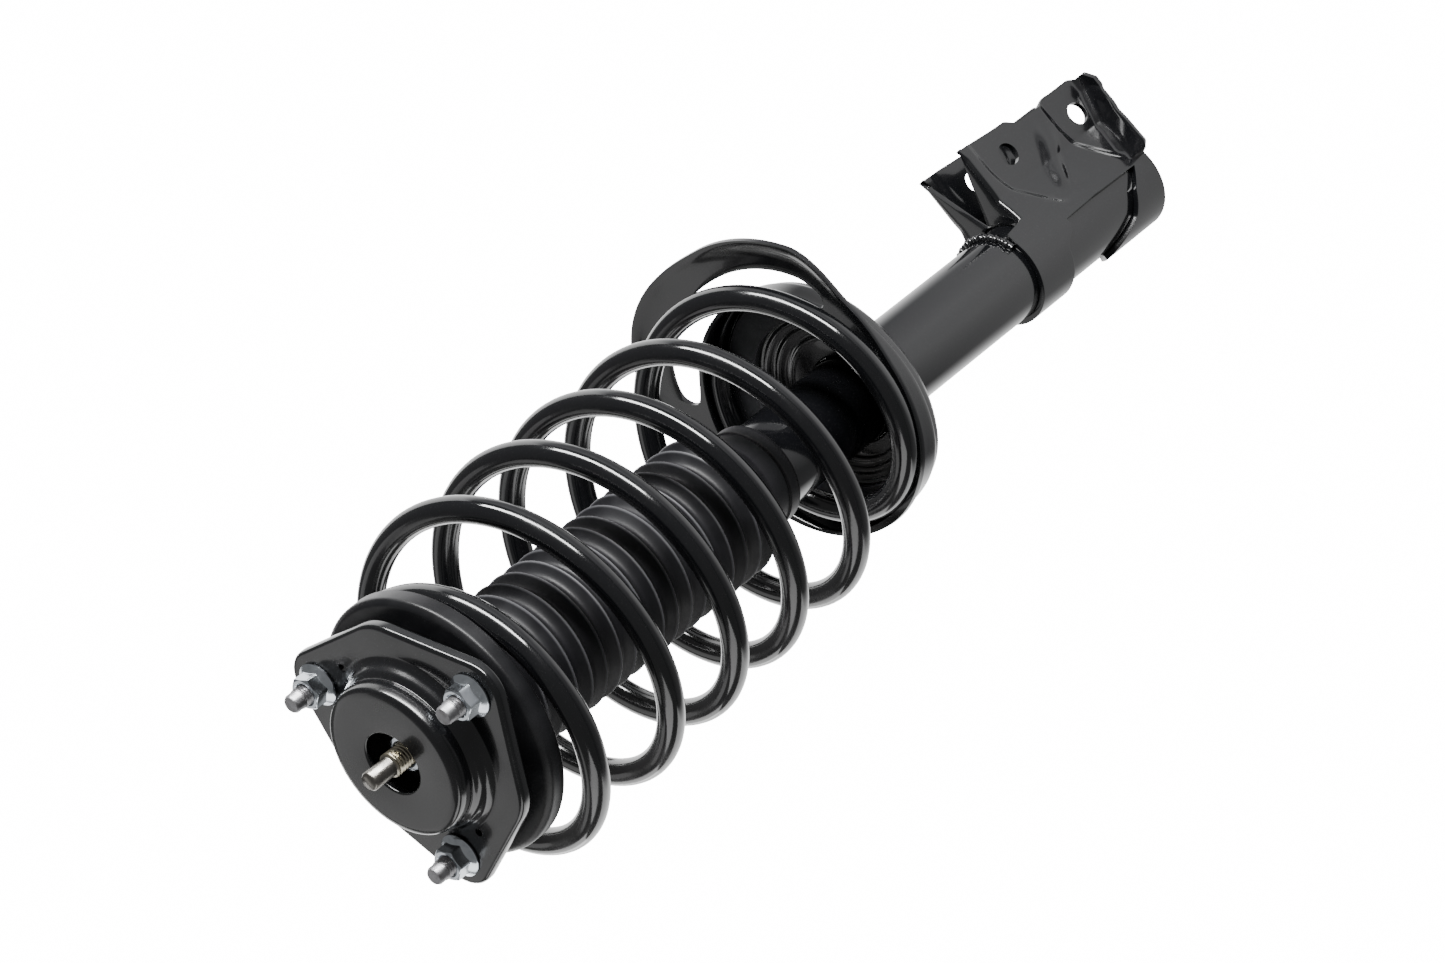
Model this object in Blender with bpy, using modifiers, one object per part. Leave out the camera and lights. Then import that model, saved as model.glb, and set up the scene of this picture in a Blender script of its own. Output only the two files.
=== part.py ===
"""MacPherson front strut with spring and top mount.

Metres, +Z up along the piston rod. The origin is the centre of the top plate's seating face.
The bracket's ears point to +X. Rest is the strut at full extension.
"""

import math

import bmesh
import bpy

MM = 0.001
GAP = 0.3 * MM
ROUND = 20
WIDE_ROUND = 36

# Top mount plate
PLATE_THICK = 3.0 * MM
PLATE_RIM_DEPTH = 6.0 * MM
STUD_CIRCLE = 57.5 * MM
STUD_ANGLES = (32.5, -87.5, 152.5)
LOBE_RADIUS = 16.5 * MM
SIDE_RADIUS = 30.0 * MM
SIDE_CENTRE = 31.0 * MM
TANGENT_ANGLE = 41.7
SMALL_HOLES = (10.5, 174.5)
SMALL_HOLE_CIRCLE = 48.0 * MM
CUP_TOP = 16.3 * MM
CUP_INNER_RADIUS = 35.6 * MM
CUP_HOLE_RADIUS = 15.5 * MM

# Studs and nuts (M10)
STUD_RADIUS = 5.0 * MM
STUD_HOLE_RADIUS = STUD_RADIUS + GAP
STUD_TOP = 19.0 * MM
STUD_HEAD_RADIUS = 9.0 * MM
NUT_FLANGE_RADIUS = 10.9 * MM
NUT_ACROSS_FLATS = 15.0 * MM
NUT_HEIGHT = 10.0 * MM

# Piston rod (20 mm, M12 stem) and what is clamped on it
ROD_RADIUS = 10.0 * MM
ROD_THREAD_RADIUS = 6.0 * MM
ROD_POINT_RADIUS = 4.7 * MM
ROD_TIP = 32.2 * MM
ROD_THREAD_TOP = 18.2 * MM
ROD_SHOULDER = -16.3 * MM
ROD_BOTTOM = -298.0 * MM
ROD_STEM_RADIUS = 6.5 * MM
STEM_BOTTOM = -334.0 * MM
CLAMP_BORE = ROD_THREAD_RADIUS + GAP

# Bearing
BALL_CIRCLE = 13.0 * MM
BALL_RADIUS = 2.1 * MM
BALL_COUNT = 8
BEARING_TOP = -4.3 * MM
BEARING_BOTTOM = -12.7 * MM
BEARING_MIDDLE = (BEARING_TOP + BEARING_BOTTOM) / 2

# Coil spring: right-handed, both ends wound inwards, leaning slightly towards the hoop
WIRE_RADIUS = 6.5 * MM
COIL_RADIUS = 75.5 * MM
COIL_TAPER = 1.184 * MM
COIL_CENTRE = (1.94 * MM, 4.9 * MM)
COIL_LEAN = -0.029
COIL_START_ANGLE = -106.6
COIL_START_Z = -40.9 * MM
COIL_PITCH = 48.0 * MM
COIL_PITCH_GROWTH = 0.812 * MM
COIL_FIRST_TURN = -0.45
COIL_MIDDLE_TURN = 2.5
COIL_LAST_TURN = 5.6
COIL_TOP_Z = -29.6 * MM
COIL_TOP_TUCK = 22.0 * MM
COIL_BOTTOM_Z = -303.5 * MM
COIL_BOTTOM_TUCK = 20.0 * MM
COIL_POINTS_PER_TURN = 20

# Boot and bumper
BOOT_RADIUS = 37.0 * MM
BOOT_WALL = 2.5 * MM
BOOT_TOP = -16.6 * MM
BOOT_SHOULDER = -222.0 * MM
BOOT_END = -248.0 * MM

# Tube
TUBE_RADIUS = 23.0 * MM
TUBE_WALL = 2.0 * MM
TUBE_TOP = -226.0 * MM
TUBE_END = -560.5 * MM
CYLINDER_RADIUS = 17.0 * MM
CYLINDER_BORE = 15.0 * MM

# Lower spring seat
PAN_CENTRE = 12.0 * MM
PAN_RIM_Z = -295.0 * MM
PAN_RIM_RADIUS = 76.5 * MM
PAN_THICK = 2.6 * MM
DISH_CENTRE = (4.0 * MM, 0.0)
HOOP_REACH = 15.0 * MM
HOOP_FAR_REACH = 12.0 * MM
WINDOW_INNER = 70.2 * MM
WINDOW_OUTER = 75.5 * MM
WINDOW_START = -56.0
WINDOW_END = 56.0

# Knuckle bracket
SHEET = 2.9 * MM
WRAP_INNER = TUBE_RADIUS + GAP
WRAP_OUTER = WRAP_INNER + SHEET
WRAP_TOP = -451.0 * MM
EAR_TOP = -464.5 * MM
EAR_BOTTOM = -566.0 * MM
EAR_OUTER_Y = 19.0 * MM
EAR_TIP_X = 64.0 * MM
BOLT_RADIUS = 6.1 * MM
BOLT_UPPER = (47.3 * MM, -492.2 * MM)
BOLT_LOWER = (42.4 * MM, -548.6 * MM)

for stale in list(bpy.data.objects):
    bpy.data.objects.remove(stale, do_unlink=True)

PARTS = bpy.data.collections.new("strut_assembly")
CUTTERS = bpy.data.collections.new("cutters")
bpy.context.scene.collection.children.link(PARTS)
bpy.context.scene.collection.children.link(CUTTERS)


# Materials

def material(name, colour, roughness, metallic):
    made = bpy.data.materials.new(name)
    made.use_nodes = True
    shader = made.node_tree.nodes["Principled BSDF"]
    shader.inputs["Base Color"].default_value = (*colour, 1.0)
    shader.inputs["Roughness"].default_value = roughness
    shader.inputs["Metallic"].default_value = metallic
    made.diffuse_color = (*colour, 1.0)
    return made


BLACK_PAINT = ((0.010, 0.010, 0.012), 0.15, 0.0)
ZINC = ((0.72, 0.76, 0.80), 0.25, 1.0)
PLAIN_STEEL = ((0.38, 0.37, 0.36), 0.35, 1.0)
CHROME = ((0.62, 0.62, 0.63), 0.08, 1.0)
BEARING_STEEL = ((0.55, 0.55, 0.56), 0.20, 1.0)
RUBBER = ((0.022, 0.022, 0.024), 0.75, 0.0)
GREY_RUBBER = ((0.060, 0.060, 0.064), 0.70, 0.0)
FOAM = ((0.55, 0.50, 0.36), 0.85, 0.0)
NYLON = ((0.10, 0.10, 0.11), 0.50, 0.0)


# Building blocks

def finish(item, look, collection=PARTS):
    collection.objects.link(item)
    if collection is CUTTERS:
        item.hide_render = True
        item.display_type = "WIRE"
        return item
    item.data.materials.clear()
    item.data.materials.append(material(item.name + "_finish", *look))
    return item


def from_bmesh(name, shape, look, collection=PARTS):
    mesh = bpy.data.meshes.new(name)
    shape.to_mesh(mesh)
    shape.free()
    mesh.shade_smooth()
    mesh.set_sharp_from_angle(angle=math.radians(35))
    return finish(bpy.data.objects.new(name, mesh), look, collection)


def turned(name, profile, look, steps=ROUND, collection=PARTS, centre=(0.0, 0.0)):
    """Closed profile of (radius, z) points, listed down the outer side first, turned about the Z axis."""
    mesh = bpy.data.meshes.new(name)
    count = len(profile)
    touches_axis = profile[0][0] == 0.0 and profile[-1][0] == 0.0
    last = count - 1 if touches_axis else count
    mesh.from_pydata(
        [(radius, 0.0, z) for radius, z in profile],
        [(index, (index + 1) % count) for index in range(last)],
        [],
    )
    item = bpy.data.objects.new(name, mesh)
    screw = item.modifiers.new("turn", "SCREW")
    screw.angle = math.tau
    screw.steps = steps
    screw.render_steps = steps
    screw.use_merge_vertices = True
    screw.merge_threshold = 0.00001
    screw.use_smooth_shade = False
    item.location = (centre[0], centre[1], 0.0)
    return finish(item, look, collection)


def ring(name, outer, inner, top, bottom, look, steps=ROUND, collection=PARTS, centre=(0.0, 0.0)):
    profile = [(outer, top), (outer, bottom), (inner, bottom), (inner, top)]
    return turned(name, profile, look, steps, collection, centre)


def rod(name, radius, top, bottom, look, steps=ROUND, collection=PARTS, centre=(0.0, 0.0)):
    profile = [(0.0, top), (radius, top), (radius, bottom), (0.0, bottom)]
    return turned(name, profile, look, steps, collection, centre)


def plain_mesh(item):
    """Replaces a curve or a modified object by one with the same evaluated mesh and place."""
    graph = bpy.context.evaluated_depsgraph_get()
    graph.update()
    mesh = bpy.data.meshes.new_from_object(item.evaluated_get(graph))
    shape = bmesh.new()
    shape.from_mesh(mesh)
    bmesh.ops.remove_doubles(shape, verts=shape.verts, dist=0.00001)
    shape.to_mesh(mesh)
    shape.free()
    made = bpy.data.objects.new(item.name, mesh)
    made.matrix_world = item.matrix_world.copy()
    home = item.users_collection[0]
    look = item.data.materials[0] if item.data.materials else None
    name = item.name
    bpy.data.objects.remove(item, do_unlink=True)
    home.objects.link(made)
    made.name = name
    if home is CUTTERS:
        made.hide_render = True
        made.display_type = "WIRE"
    elif look:
        mesh.materials.clear()
        mesh.materials.append(look)
    return made


def sheet(name, outline, low, high, look, plane="XY", collection=PARTS):
    """Flat closed outline extruded between two levels of the axis that its plane leaves out."""
    curve = bpy.data.curves.new(name, "CURVE")
    curve.dimensions = "2D"
    curve.fill_mode = "BOTH"
    curve.extrude = (high - low) / 2
    spline = curve.splines.new("POLY")
    spline.points.add(len(outline) - 1)
    for point, (x, y) in zip(spline.points, outline):
        point.co = (x, y, 0.0, 1.0)
    spline.use_cyclic_u = True
    item = bpy.data.objects.new(name, curve)
    middle = (high + low) / 2
    if plane == "XZ":
        item.rotation_euler = (math.pi / 2, 0.0, 0.0)
        item.location = (0.0, middle, 0.0)
    else:
        item.location = (0.0, 0.0, middle)
    finish(item, look, collection)
    bpy.context.view_layer.update()
    return plain_mesh(item)


def combine(item, other, operation):
    step = item.modifiers.new(operation.lower(), "BOOLEAN")
    step.operation = operation
    step.solver = "EXACT"
    step.object = other
    return item


def cut(item, *others):
    for other in others:
        combine(item, other, "DIFFERENCE")
    return item


def join(item, *others):
    for other in others:
        combine(item, other, "UNION")
    return item


def arc(centre, radius, start, end, steps):
    """Points along an arc, angles in degrees."""
    points = []
    for index in range(steps + 1):
        angle = math.radians(start + (end - start) * index / steps)
        points.append((centre[0] + radius * math.cos(angle), centre[1] + radius * math.sin(angle)))
    return points


def polar(radius, degrees):
    angle = math.radians(degrees)
    return radius * math.cos(angle), radius * math.sin(angle)


def smooth_ramp(value, start, end):
    share = min(1.0, max(0.0, (value - start) / (end - start)))
    return share * share * (3 - 2 * share)


# Top mount

def plate_outline(inset):
    """Rounded triangle: a lobe round each stud, and a wide arc in the middle of each side."""
    points = []
    for angle in sorted(STUD_ANGLES):
        centre = polar(STUD_CIRCLE, angle)
        points += arc(centre, LOBE_RADIUS - inset, angle - TANGENT_ANGLE, angle + TANGENT_ANGLE, 6)
        points += arc(polar(SIDE_CENTRE, angle + 60), SIDE_RADIUS - inset, angle + TANGENT_ANGLE,
                      angle + 120 - TANGENT_ANGLE, 3)
    return points


def make_mount_plate():
    plate = sheet("mount_plate", plate_outline(0.0), -PLATE_RIM_DEPTH, 0.0, BLACK_PAINT)
    cup = turned("cup_solid", [
        (0.0, CUP_TOP), (34.6 * MM, CUP_TOP), (37.2 * MM, 15.2 * MM), (38.6 * MM, 12.2 * MM),
        (38.6 * MM, 8.4 * MM), (37.8 * MM, 7.0 * MM), (37.8 * MM, 6.2 * MM), (40.6 * MM, 4.6 * MM),
        (42.4 * MM, 2.4 * MM), (44.2 * MM, -0.8 * MM), (44.2 * MM, -2.0 * MM), (0.0, -2.0 * MM),
    ], BLACK_PAINT, WIDE_ROUND, CUTTERS)
    hollow = turned("cup_hollow", [
        (0.0, CUP_TOP - PLATE_THICK), (33.6 * MM, CUP_TOP - PLATE_THICK), (CUP_INNER_RADIUS, 11.3 * MM),
        (CUP_INNER_RADIUS, -9.0 * MM), (0.0, -9.0 * MM),
    ], BLACK_PAINT, WIDE_ROUND, CUTTERS)
    pocket = sheet("plate_pocket", plate_outline(PLATE_THICK), -9.0 * MM, -PLATE_THICK, BLACK_PAINT,
                   collection=CUTTERS)
    hole = rod("cup_hole", CUP_HOLE_RADIUS, 20 * MM, 10 * MM, BLACK_PAINT, ROUND, CUTTERS)
    join(plate, cup)
    cut(plate, pocket, hollow, hole)
    for number, angle in enumerate(STUD_ANGLES, 1):
        centre = polar(STUD_CIRCLE, angle)
        cut(plate, rod(f"stud_hole_{number}", STUD_HOLE_RADIUS, 2 * MM, -8 * MM, BLACK_PAINT, ROUND,
                       CUTTERS, centre))
    for number, angle in enumerate(SMALL_HOLES, 1):
        cut(plate, rod(f"small_hole_{number}", 2.0 * MM, 2 * MM, -8 * MM, BLACK_PAINT, 8, CUTTERS,
                       polar(SMALL_HOLE_CIRCLE, angle)))


def make_stud(number, centre):
    head_top = -PLATE_THICK - GAP
    turned(f"mount_stud_{number}", [
        (0.0, STUD_TOP), (4.0 * MM, STUD_TOP), (4.5 * MM, STUD_TOP - 0.8 * MM),
        (4.5 * MM, STUD_TOP - 4.5 * MM), (STUD_RADIUS, STUD_TOP - 5.2 * MM),
        (STUD_RADIUS, head_top), (STUD_HEAD_RADIUS, head_top), (STUD_HEAD_RADIUS, -5.8 * MM),
        (0.0, -5.8 * MM),
    ], PLAIN_STEEL, centre=centre)


def make_hex_nut(name, centre, bottom, height, across, flange_radius, bore):
    """Hexagon with a chamfered top, on a conical flange."""
    hexagon = bmesh.new()
    bmesh.ops.create_cone(hexagon, cap_ends=True, segments=6, radius1=across / math.sqrt(3),
                          radius2=across / math.sqrt(3), depth=height)
    nut = from_bmesh(name, hexagon, ZINC)
    nut.location = (centre[0], centre[1], bottom + height / 2)
    corner = across / math.sqrt(3)
    crown = turned(name + "_crown", [
        (0.0, bottom + height + 1 * MM), (across / 2, bottom + height + 1 * MM),
        (across / 2, bottom + height), (corner + 1 * MM, bottom + height - 1.6 * MM),
        (corner + 1 * MM, bottom - 1 * MM), (0.0, bottom - 1 * MM),
    ], ZINC, ROUND, CUTTERS, centre)
    combine(nut, crown, "INTERSECT")
    if flange_radius:
        flange = turned(name + "_flange", [
            (0.0, bottom + 3.2 * MM), (across / 2 - 0.6 * MM, bottom + 3.2 * MM),
            (flange_radius - 0.3 * MM, bottom + 1.4 * MM), (flange_radius, bottom + 0.9 * MM),
            (flange_radius, bottom), (0.0, bottom),
        ], ZINC, ROUND, CUTTERS, centre)
        join(nut, flange)
    cut(nut, rod(name + "_bore", bore, bottom + height + 2 * MM, bottom - 2 * MM, ZINC, ROUND, CUTTERS,
                 centre))


def make_top_mount():
    make_mount_plate()
    for number, angle in enumerate(STUD_ANGLES, 1):
        centre = polar(STUD_CIRCLE, angle)
        make_stud(number, centre)
        make_hex_nut(f"flange_nut_{number}", centre, GAP, NUT_HEIGHT - GAP, NUT_ACROSS_FLATS,
                     NUT_FLANGE_RADIUS, STUD_HOLE_RADIUS)
    turned("mount_rubber", [
        (31.0 * MM, 12.9 * MM), (35.2 * MM, 9.5 * MM), (35.2 * MM, -2.8 * MM), (24.3 * MM, -2.8 * MM),
        (24.3 * MM, -12.4 * MM), (19.0 * MM, -12.4 * MM), (19.0 * MM, -4.0 * MM), (16.5 * MM, -4.0 * MM),
        (16.5 * MM, -2.0 * MM), (20.0 * MM, 0.0), (20.0 * MM, 12.9 * MM),
    ], RUBBER)
    ring("mount_retainer", 46.0 * MM, 24.6 * MM, -PLATE_THICK - GAP, -5.6 * MM, BLACK_PAINT, WIDE_ROUND)


def make_bearing():
    turned("bearing_outer_race", [
        (18.7 * MM, BEARING_TOP), (18.7 * MM, BEARING_BOTTOM), (14.4 * MM, BEARING_BOTTOM),
        (14.4 * MM, BEARING_MIDDLE - 1.7 * MM), (15.0 * MM, BEARING_MIDDLE - 1.2 * MM),
        (15.3 * MM, BEARING_MIDDLE), (15.0 * MM, BEARING_MIDDLE + 1.2 * MM),
        (14.4 * MM, BEARING_MIDDLE + 1.7 * MM), (14.4 * MM, BEARING_TOP),
    ], BEARING_STEEL)
    turned("bearing_inner_race", [
        (11.6 * MM, BEARING_TOP), (11.6 * MM, BEARING_MIDDLE + 1.7 * MM),
        (11.0 * MM, BEARING_MIDDLE + 1.2 * MM), (10.7 * MM, BEARING_MIDDLE),
        (11.0 * MM, BEARING_MIDDLE - 1.2 * MM), (11.6 * MM, BEARING_MIDDLE - 1.7 * MM),
        (11.6 * MM, BEARING_BOTTOM),
        (CLAMP_BORE, BEARING_BOTTOM), (CLAMP_BORE, BEARING_TOP),
    ], BEARING_STEEL)
    cage = ring("bearing_balls", 13.9 * MM, 12.1 * MM, BEARING_MIDDLE + 0.9 * MM,
                BEARING_MIDDLE - 0.9 * MM, BEARING_STEEL, WIDE_ROUND)
    for number in range(BALL_COUNT):
        sphere = bmesh.new()
        bmesh.ops.create_uvsphere(sphere, u_segments=8, v_segments=6, radius=BALL_RADIUS)
        ball = from_bmesh(f"ball_{number}", sphere, BEARING_STEEL, CUTTERS)
        x, y = polar(BALL_CIRCLE, 360 * number / BALL_COUNT)
        ball.location = (x, y, BEARING_MIDDLE)
        join(cage, ball)


# Rod, damper piston and what turns with the spring

def make_rod_group():
    turned("piston_rod", [
        (0.0, ROD_TIP), (3.9 * MM, ROD_TIP), (ROD_POINT_RADIUS, ROD_TIP - 0.8 * MM),
        (ROD_POINT_RADIUS, ROD_THREAD_TOP), (ROD_THREAD_RADIUS, ROD_THREAD_TOP - 1.2 * MM),
        (ROD_THREAD_RADIUS, ROD_SHOULDER), (ROD_RADIUS, ROD_SHOULDER), (ROD_RADIUS, ROD_BOTTOM),
        (ROD_STEM_RADIUS, ROD_BOTTOM), (ROD_STEM_RADIUS, STEM_BOTTOM), (0.0, STEM_BOTTOM),
    ], CHROME)
    make_hex_nut("rod_nut", (0.0, 0.0), -1.2 * MM, 9.5 * MM, 18 * MM, 0.0, CLAMP_BORE)
    ring("rod_washer", 14.5 * MM, CLAMP_BORE, -1.5 * MM, -4.0 * MM, ZINC)
    stem_bore = ROD_STEM_RADIUS + GAP
    ring("rebound_stop", 13.6 * MM, ROD_RADIUS + GAP, TUBE_TOP - 30.3 * MM, TUBE_TOP - 42 * MM, NYLON)
    ring("rebound_valve", 12.0 * MM, stem_bore, ROD_BOTTOM - GAP, -301 * MM, BEARING_STEEL)
    turned("piston", [
        (14.0 * MM, -301.3 * MM), (14.0 * MM, -304.0 * MM), (12.4 * MM, -304.0 * MM),
        (12.4 * MM, -314.0 * MM), (14.0 * MM, -314.0 * MM), (14.0 * MM, -317.0 * MM),
        (stem_bore, -317.0 * MM), (stem_bore, -301.3 * MM),
    ], PLAIN_STEEL)
    ring("piston_band", 14.7 * MM, 12.7 * MM, -304.3 * MM, -313.7 * MM, NYLON)
    make_hex_nut("piston_nut", (0.0, 0.0), -326.3 * MM, 9 * MM, 17 * MM, 0.0, stem_bore)


def make_upper_seat():
    turned("upper_spring_seat", [
        (46.0 * MM, -13.0 * MM), (50.0 * MM, -15.6 * MM), (63.0 * MM, -15.6 * MM), (63.0 * MM, -18.2 * MM),
        (49.2 * MM, -18.2 * MM), (45.2 * MM, -15.7 * MM), (CLAMP_BORE, -15.7 * MM), (CLAMP_BORE, -13.0 * MM),
    ], BLACK_PAINT, WIDE_ROUND)
    turned("upper_isolator", [
        (64.5 * MM, -12.2 * MM), (66.4 * MM, -14.2 * MM), (66.4 * MM, -22.8 * MM), (48.6 * MM, -22.8 * MM),
        (47.2 * MM, -31.0 * MM), (44.0 * MM, -31.0 * MM), (44.0 * MM, -18.6 * MM), (63.4 * MM, -18.6 * MM),
        (63.4 * MM, -15.3 * MM), (51.0 * MM, -15.3 * MM), (51.0 * MM, -12.2 * MM),
    ], RUBBER, WIDE_ROUND)
    turned("bump_stop", [
        (24.0 * MM, ROD_SHOULDER - GAP), (24.0 * MM, -34 * MM), (20.5 * MM, -39 * MM), (23.0 * MM, -44 * MM),
        (23.0 * MM, -52 * MM), (19.0 * MM, -57 * MM), (21.0 * MM, -62 * MM), (18.0 * MM, -76 * MM),
        (10.8 * MM, -76 * MM), (10.8 * MM, ROD_SHOULDER - GAP),
    ], FOAM)
    turned("dust_boot", [
        (BOOT_RADIUS, BOOT_TOP), (BOOT_RADIUS, BOOT_SHOULDER + 12 * MM),
        (31 * MM, BOOT_SHOULDER), (25.8 * MM, BOOT_SHOULDER - 10 * MM), (25.8 * MM, BOOT_END),
        (23.4 * MM, BOOT_END), (23.4 * MM, BOOT_SHOULDER - 8 * MM),
        (28.6 * MM, BOOT_SHOULDER + 3 * MM), (BOOT_RADIUS - BOOT_WALL, BOOT_SHOULDER + 13 * MM),
        (BOOT_RADIUS - BOOT_WALL, BOOT_TOP),
    ], RUBBER)


def level_off(value, limit, width):
    """Follows value but settles smoothly on limit: from above for a positive width, from below otherwise."""
    return limit + width * math.log1p(math.exp((value - limit) / width))


def coil_point(turn):
    """Centre of the wire after a number of turns downwards from the nearest point of the top coil."""
    middle = turn - COIL_MIDDLE_TURN
    z = COIL_START_Z - COIL_PITCH * turn - COIL_PITCH_GROWTH * middle ** 3
    z = level_off(z, COIL_TOP_Z, -2.5 * MM)
    z = level_off(z, COIL_BOTTOM_Z, 12.0 * MM)
    radius = COIL_RADIUS - COIL_TAPER * middle
    radius -= COIL_TOP_TUCK * (1 - smooth_ramp(turn, -0.28, 0.06))
    radius -= COIL_BOTTOM_TUCK * smooth_ramp(turn, 4.9, 5.35)
    angle = math.radians(COIL_START_ANGLE - 360 * turn)
    lean = COIL_LEAN * (z - COIL_START_Z)
    return COIL_CENTRE[0] + lean + radius * math.cos(angle), COIL_CENTRE[1] + radius * math.sin(angle), z


def make_coil_spring():
    turns = COIL_LAST_TURN - COIL_FIRST_TURN
    count = round(turns * COIL_POINTS_PER_TURN) + 1
    curve = bpy.data.curves.new("coil_spring", "CURVE")
    curve.dimensions = "3D"
    curve.bevel_depth = WIRE_RADIUS
    curve.bevel_resolution = 2
    curve.use_fill_caps = True
    spline = curve.splines.new("POLY")
    spline.points.add(count - 1)
    for index, point in enumerate(spline.points):
        point.co = (*coil_point(COIL_FIRST_TURN + turns * index / (count - 1)), 1.0)
    finish(bpy.data.objects.new("coil_spring", curve), BLACK_PAINT)


# Tube and damper body

def make_tube_group():
    outer_bore = TUBE_RADIUS - TUBE_WALL
    ring("outer_tube", TUBE_RADIUS, outer_bore, TUBE_TOP - 3 * MM, TUBE_END, BLACK_PAINT, WIDE_ROUND)
    turned("tube_cap", [
        (20.0 * MM, TUBE_TOP + 1 * MM), (22.8 * MM, TUBE_TOP - 1 * MM), (22.8 * MM, TUBE_TOP - 2.7 * MM),
        (14.0 * MM, TUBE_TOP - 2.7 * MM), (11.0 * MM, TUBE_TOP - 2.7 * MM), (11.0 * MM, TUBE_TOP + 1 * MM),
    ], BLACK_PAINT)
    ring("rod_seal", outer_bore - GAP, ROD_RADIUS + GAP, TUBE_TOP - 3 * MM, TUBE_TOP - 10 * MM, RUBBER)
    turned("rod_guide", [
        (outer_bore - GAP, TUBE_TOP - 10.3 * MM), (outer_bore - GAP, TUBE_TOP - 20 * MM),
        (CYLINDER_BORE - GAP, TUBE_TOP - 20 * MM), (CYLINDER_BORE - GAP, TUBE_TOP - 30 * MM),
        (ROD_RADIUS + GAP, TUBE_TOP - 30 * MM), (ROD_RADIUS + GAP, TUBE_TOP - 10.3 * MM),
    ], PLAIN_STEEL)
    ring("inner_cylinder", CYLINDER_RADIUS, CYLINDER_BORE, TUBE_TOP - 20.3 * MM, -540 * MM, PLAIN_STEEL)
    turned("base_valve", [
        (CYLINDER_BORE - GAP, -526 * MM), (CYLINDER_BORE - GAP, -540.3 * MM), (17.0 * MM, -540.3 * MM),
        (17.0 * MM, -553 * MM), (13.0 * MM, -553 * MM), (13.0 * MM, -545 * MM), (4.0 * MM, -545 * MM),
        (4.0 * MM, -526 * MM),
    ], PLAIN_STEEL)
    turned("tube_end_cap", [
        (0.0, -553.3 * MM), (outer_bore - GAP, -553.3 * MM), (outer_bore - GAP, TUBE_END),
        (18.0 * MM, TUBE_END), (17.0 * MM, -557 * MM), (0.0, -557 * MM),
    ], BLACK_PAINT)


# Lower spring seat

def pan_outline(inset):
    """Round rim about the pan's centre, pushed out into the hoop on the ear side."""
    points = []
    for degrees in range(-180, 180, 8):
        reach = PAN_RIM_RADIUS - inset
        bulge = smooth_ramp(degrees, -76, -44) * (1 - smooth_ramp(degrees, 50, 86))
        reach += bulge * (HOOP_REACH + HOOP_FAR_REACH * smooth_ramp(degrees, -10, 45))
        x, y = polar(reach, degrees)
        points.append((x + PAN_CENTRE, y))
    return points


def make_lower_seat():
    pan = sheet("lower_spring_seat", pan_outline(0.0), PAN_RIM_Z - PAN_THICK, PAN_RIM_Z, BLACK_PAINT)
    window = arc((PAN_CENTRE, 0.0), WINDOW_OUTER, WINDOW_START, WINDOW_END, 10)
    window += arc(DISH_CENTRE, WINDOW_INNER, WINDOW_END - 5, WINDOW_START + 5, 10)
    cut(pan, sheet("hoop_window", window, PAN_RIM_Z - 12 * MM, PAN_RIM_Z + 5 * MM, BLACK_PAINT,
                   collection=CUTTERS))
    dish = turned("dish_solid", [
        (0.0, PAN_RIM_Z - 0.6 * MM), (69.1 * MM, PAN_RIM_Z - 0.6 * MM), (68.7 * MM, PAN_RIM_Z - 13 * MM),
        (67.0 * MM, PAN_RIM_Z - 18.6 * MM), (63.4 * MM, PAN_RIM_Z - 22.6 * MM),
        (44.0 * MM, PAN_RIM_Z - 22.6 * MM), (38.0 * MM, PAN_RIM_Z - 29.6 * MM),
        (0.0, PAN_RIM_Z - 29.6 * MM),
    ], BLACK_PAINT, WIDE_ROUND, CUTTERS, DISH_CENTRE)
    hollow = turned("dish_hollow", [
        (0.0, PAN_RIM_Z + 2 * MM), (67.6 * MM, PAN_RIM_Z + 2 * MM), (67.6 * MM, PAN_RIM_Z - 0.1 * MM),
        (66.5 * MM, PAN_RIM_Z - 2 * MM), (66.1 * MM, PAN_RIM_Z - 12 * MM),
        (64.6 * MM, PAN_RIM_Z - 17 * MM), (62.4 * MM, PAN_RIM_Z - 20 * MM),
        (45.0 * MM, PAN_RIM_Z - 20 * MM), (39.0 * MM, PAN_RIM_Z - 27 * MM), (0.0, PAN_RIM_Z - 27 * MM),
    ], BLACK_PAINT, WIDE_ROUND, CUTTERS, DISH_CENTRE)
    hub = rod("pan_hub", TUBE_RADIUS + 3 * MM, PAN_RIM_Z - 20 * MM, PAN_RIM_Z - 38 * MM, BLACK_PAINT, WIDE_ROUND,
              CUTTERS)
    bore = rod("pan_bore", TUBE_RADIUS + GAP, PAN_RIM_Z + 9 * MM, PAN_RIM_Z - 50 * MM, BLACK_PAINT, WIDE_ROUND,
               CUTTERS)
    join(pan, dish)
    cut(pan, hollow)
    join(pan, hub)
    cut(pan, bore)
    weld_radius = TUBE_RADIUS + GAP
    turned("seat_weld", [
        (weld_radius + 1.0 * MM, PAN_RIM_Z - 38.3 * MM), (weld_radius + 3.0 * MM, PAN_RIM_Z - 39.5 * MM),
        (weld_radius + 2.0 * MM, PAN_RIM_Z - 42 * MM), (weld_radius, PAN_RIM_Z - 43 * MM),
        (weld_radius, PAN_RIM_Z - 38.3 * MM),
    ], BLACK_PAINT, WIDE_ROUND)
    ring("lower_isolator", 62.0 * MM, 46.0 * MM, COIL_BOTTOM_Z - WIRE_RADIUS - GAP,
         PAN_RIM_Z - 19.7 * MM, GREY_RUBBER, WIDE_ROUND, PARTS, DISH_CENTRE)


# Knuckle bracket

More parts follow.
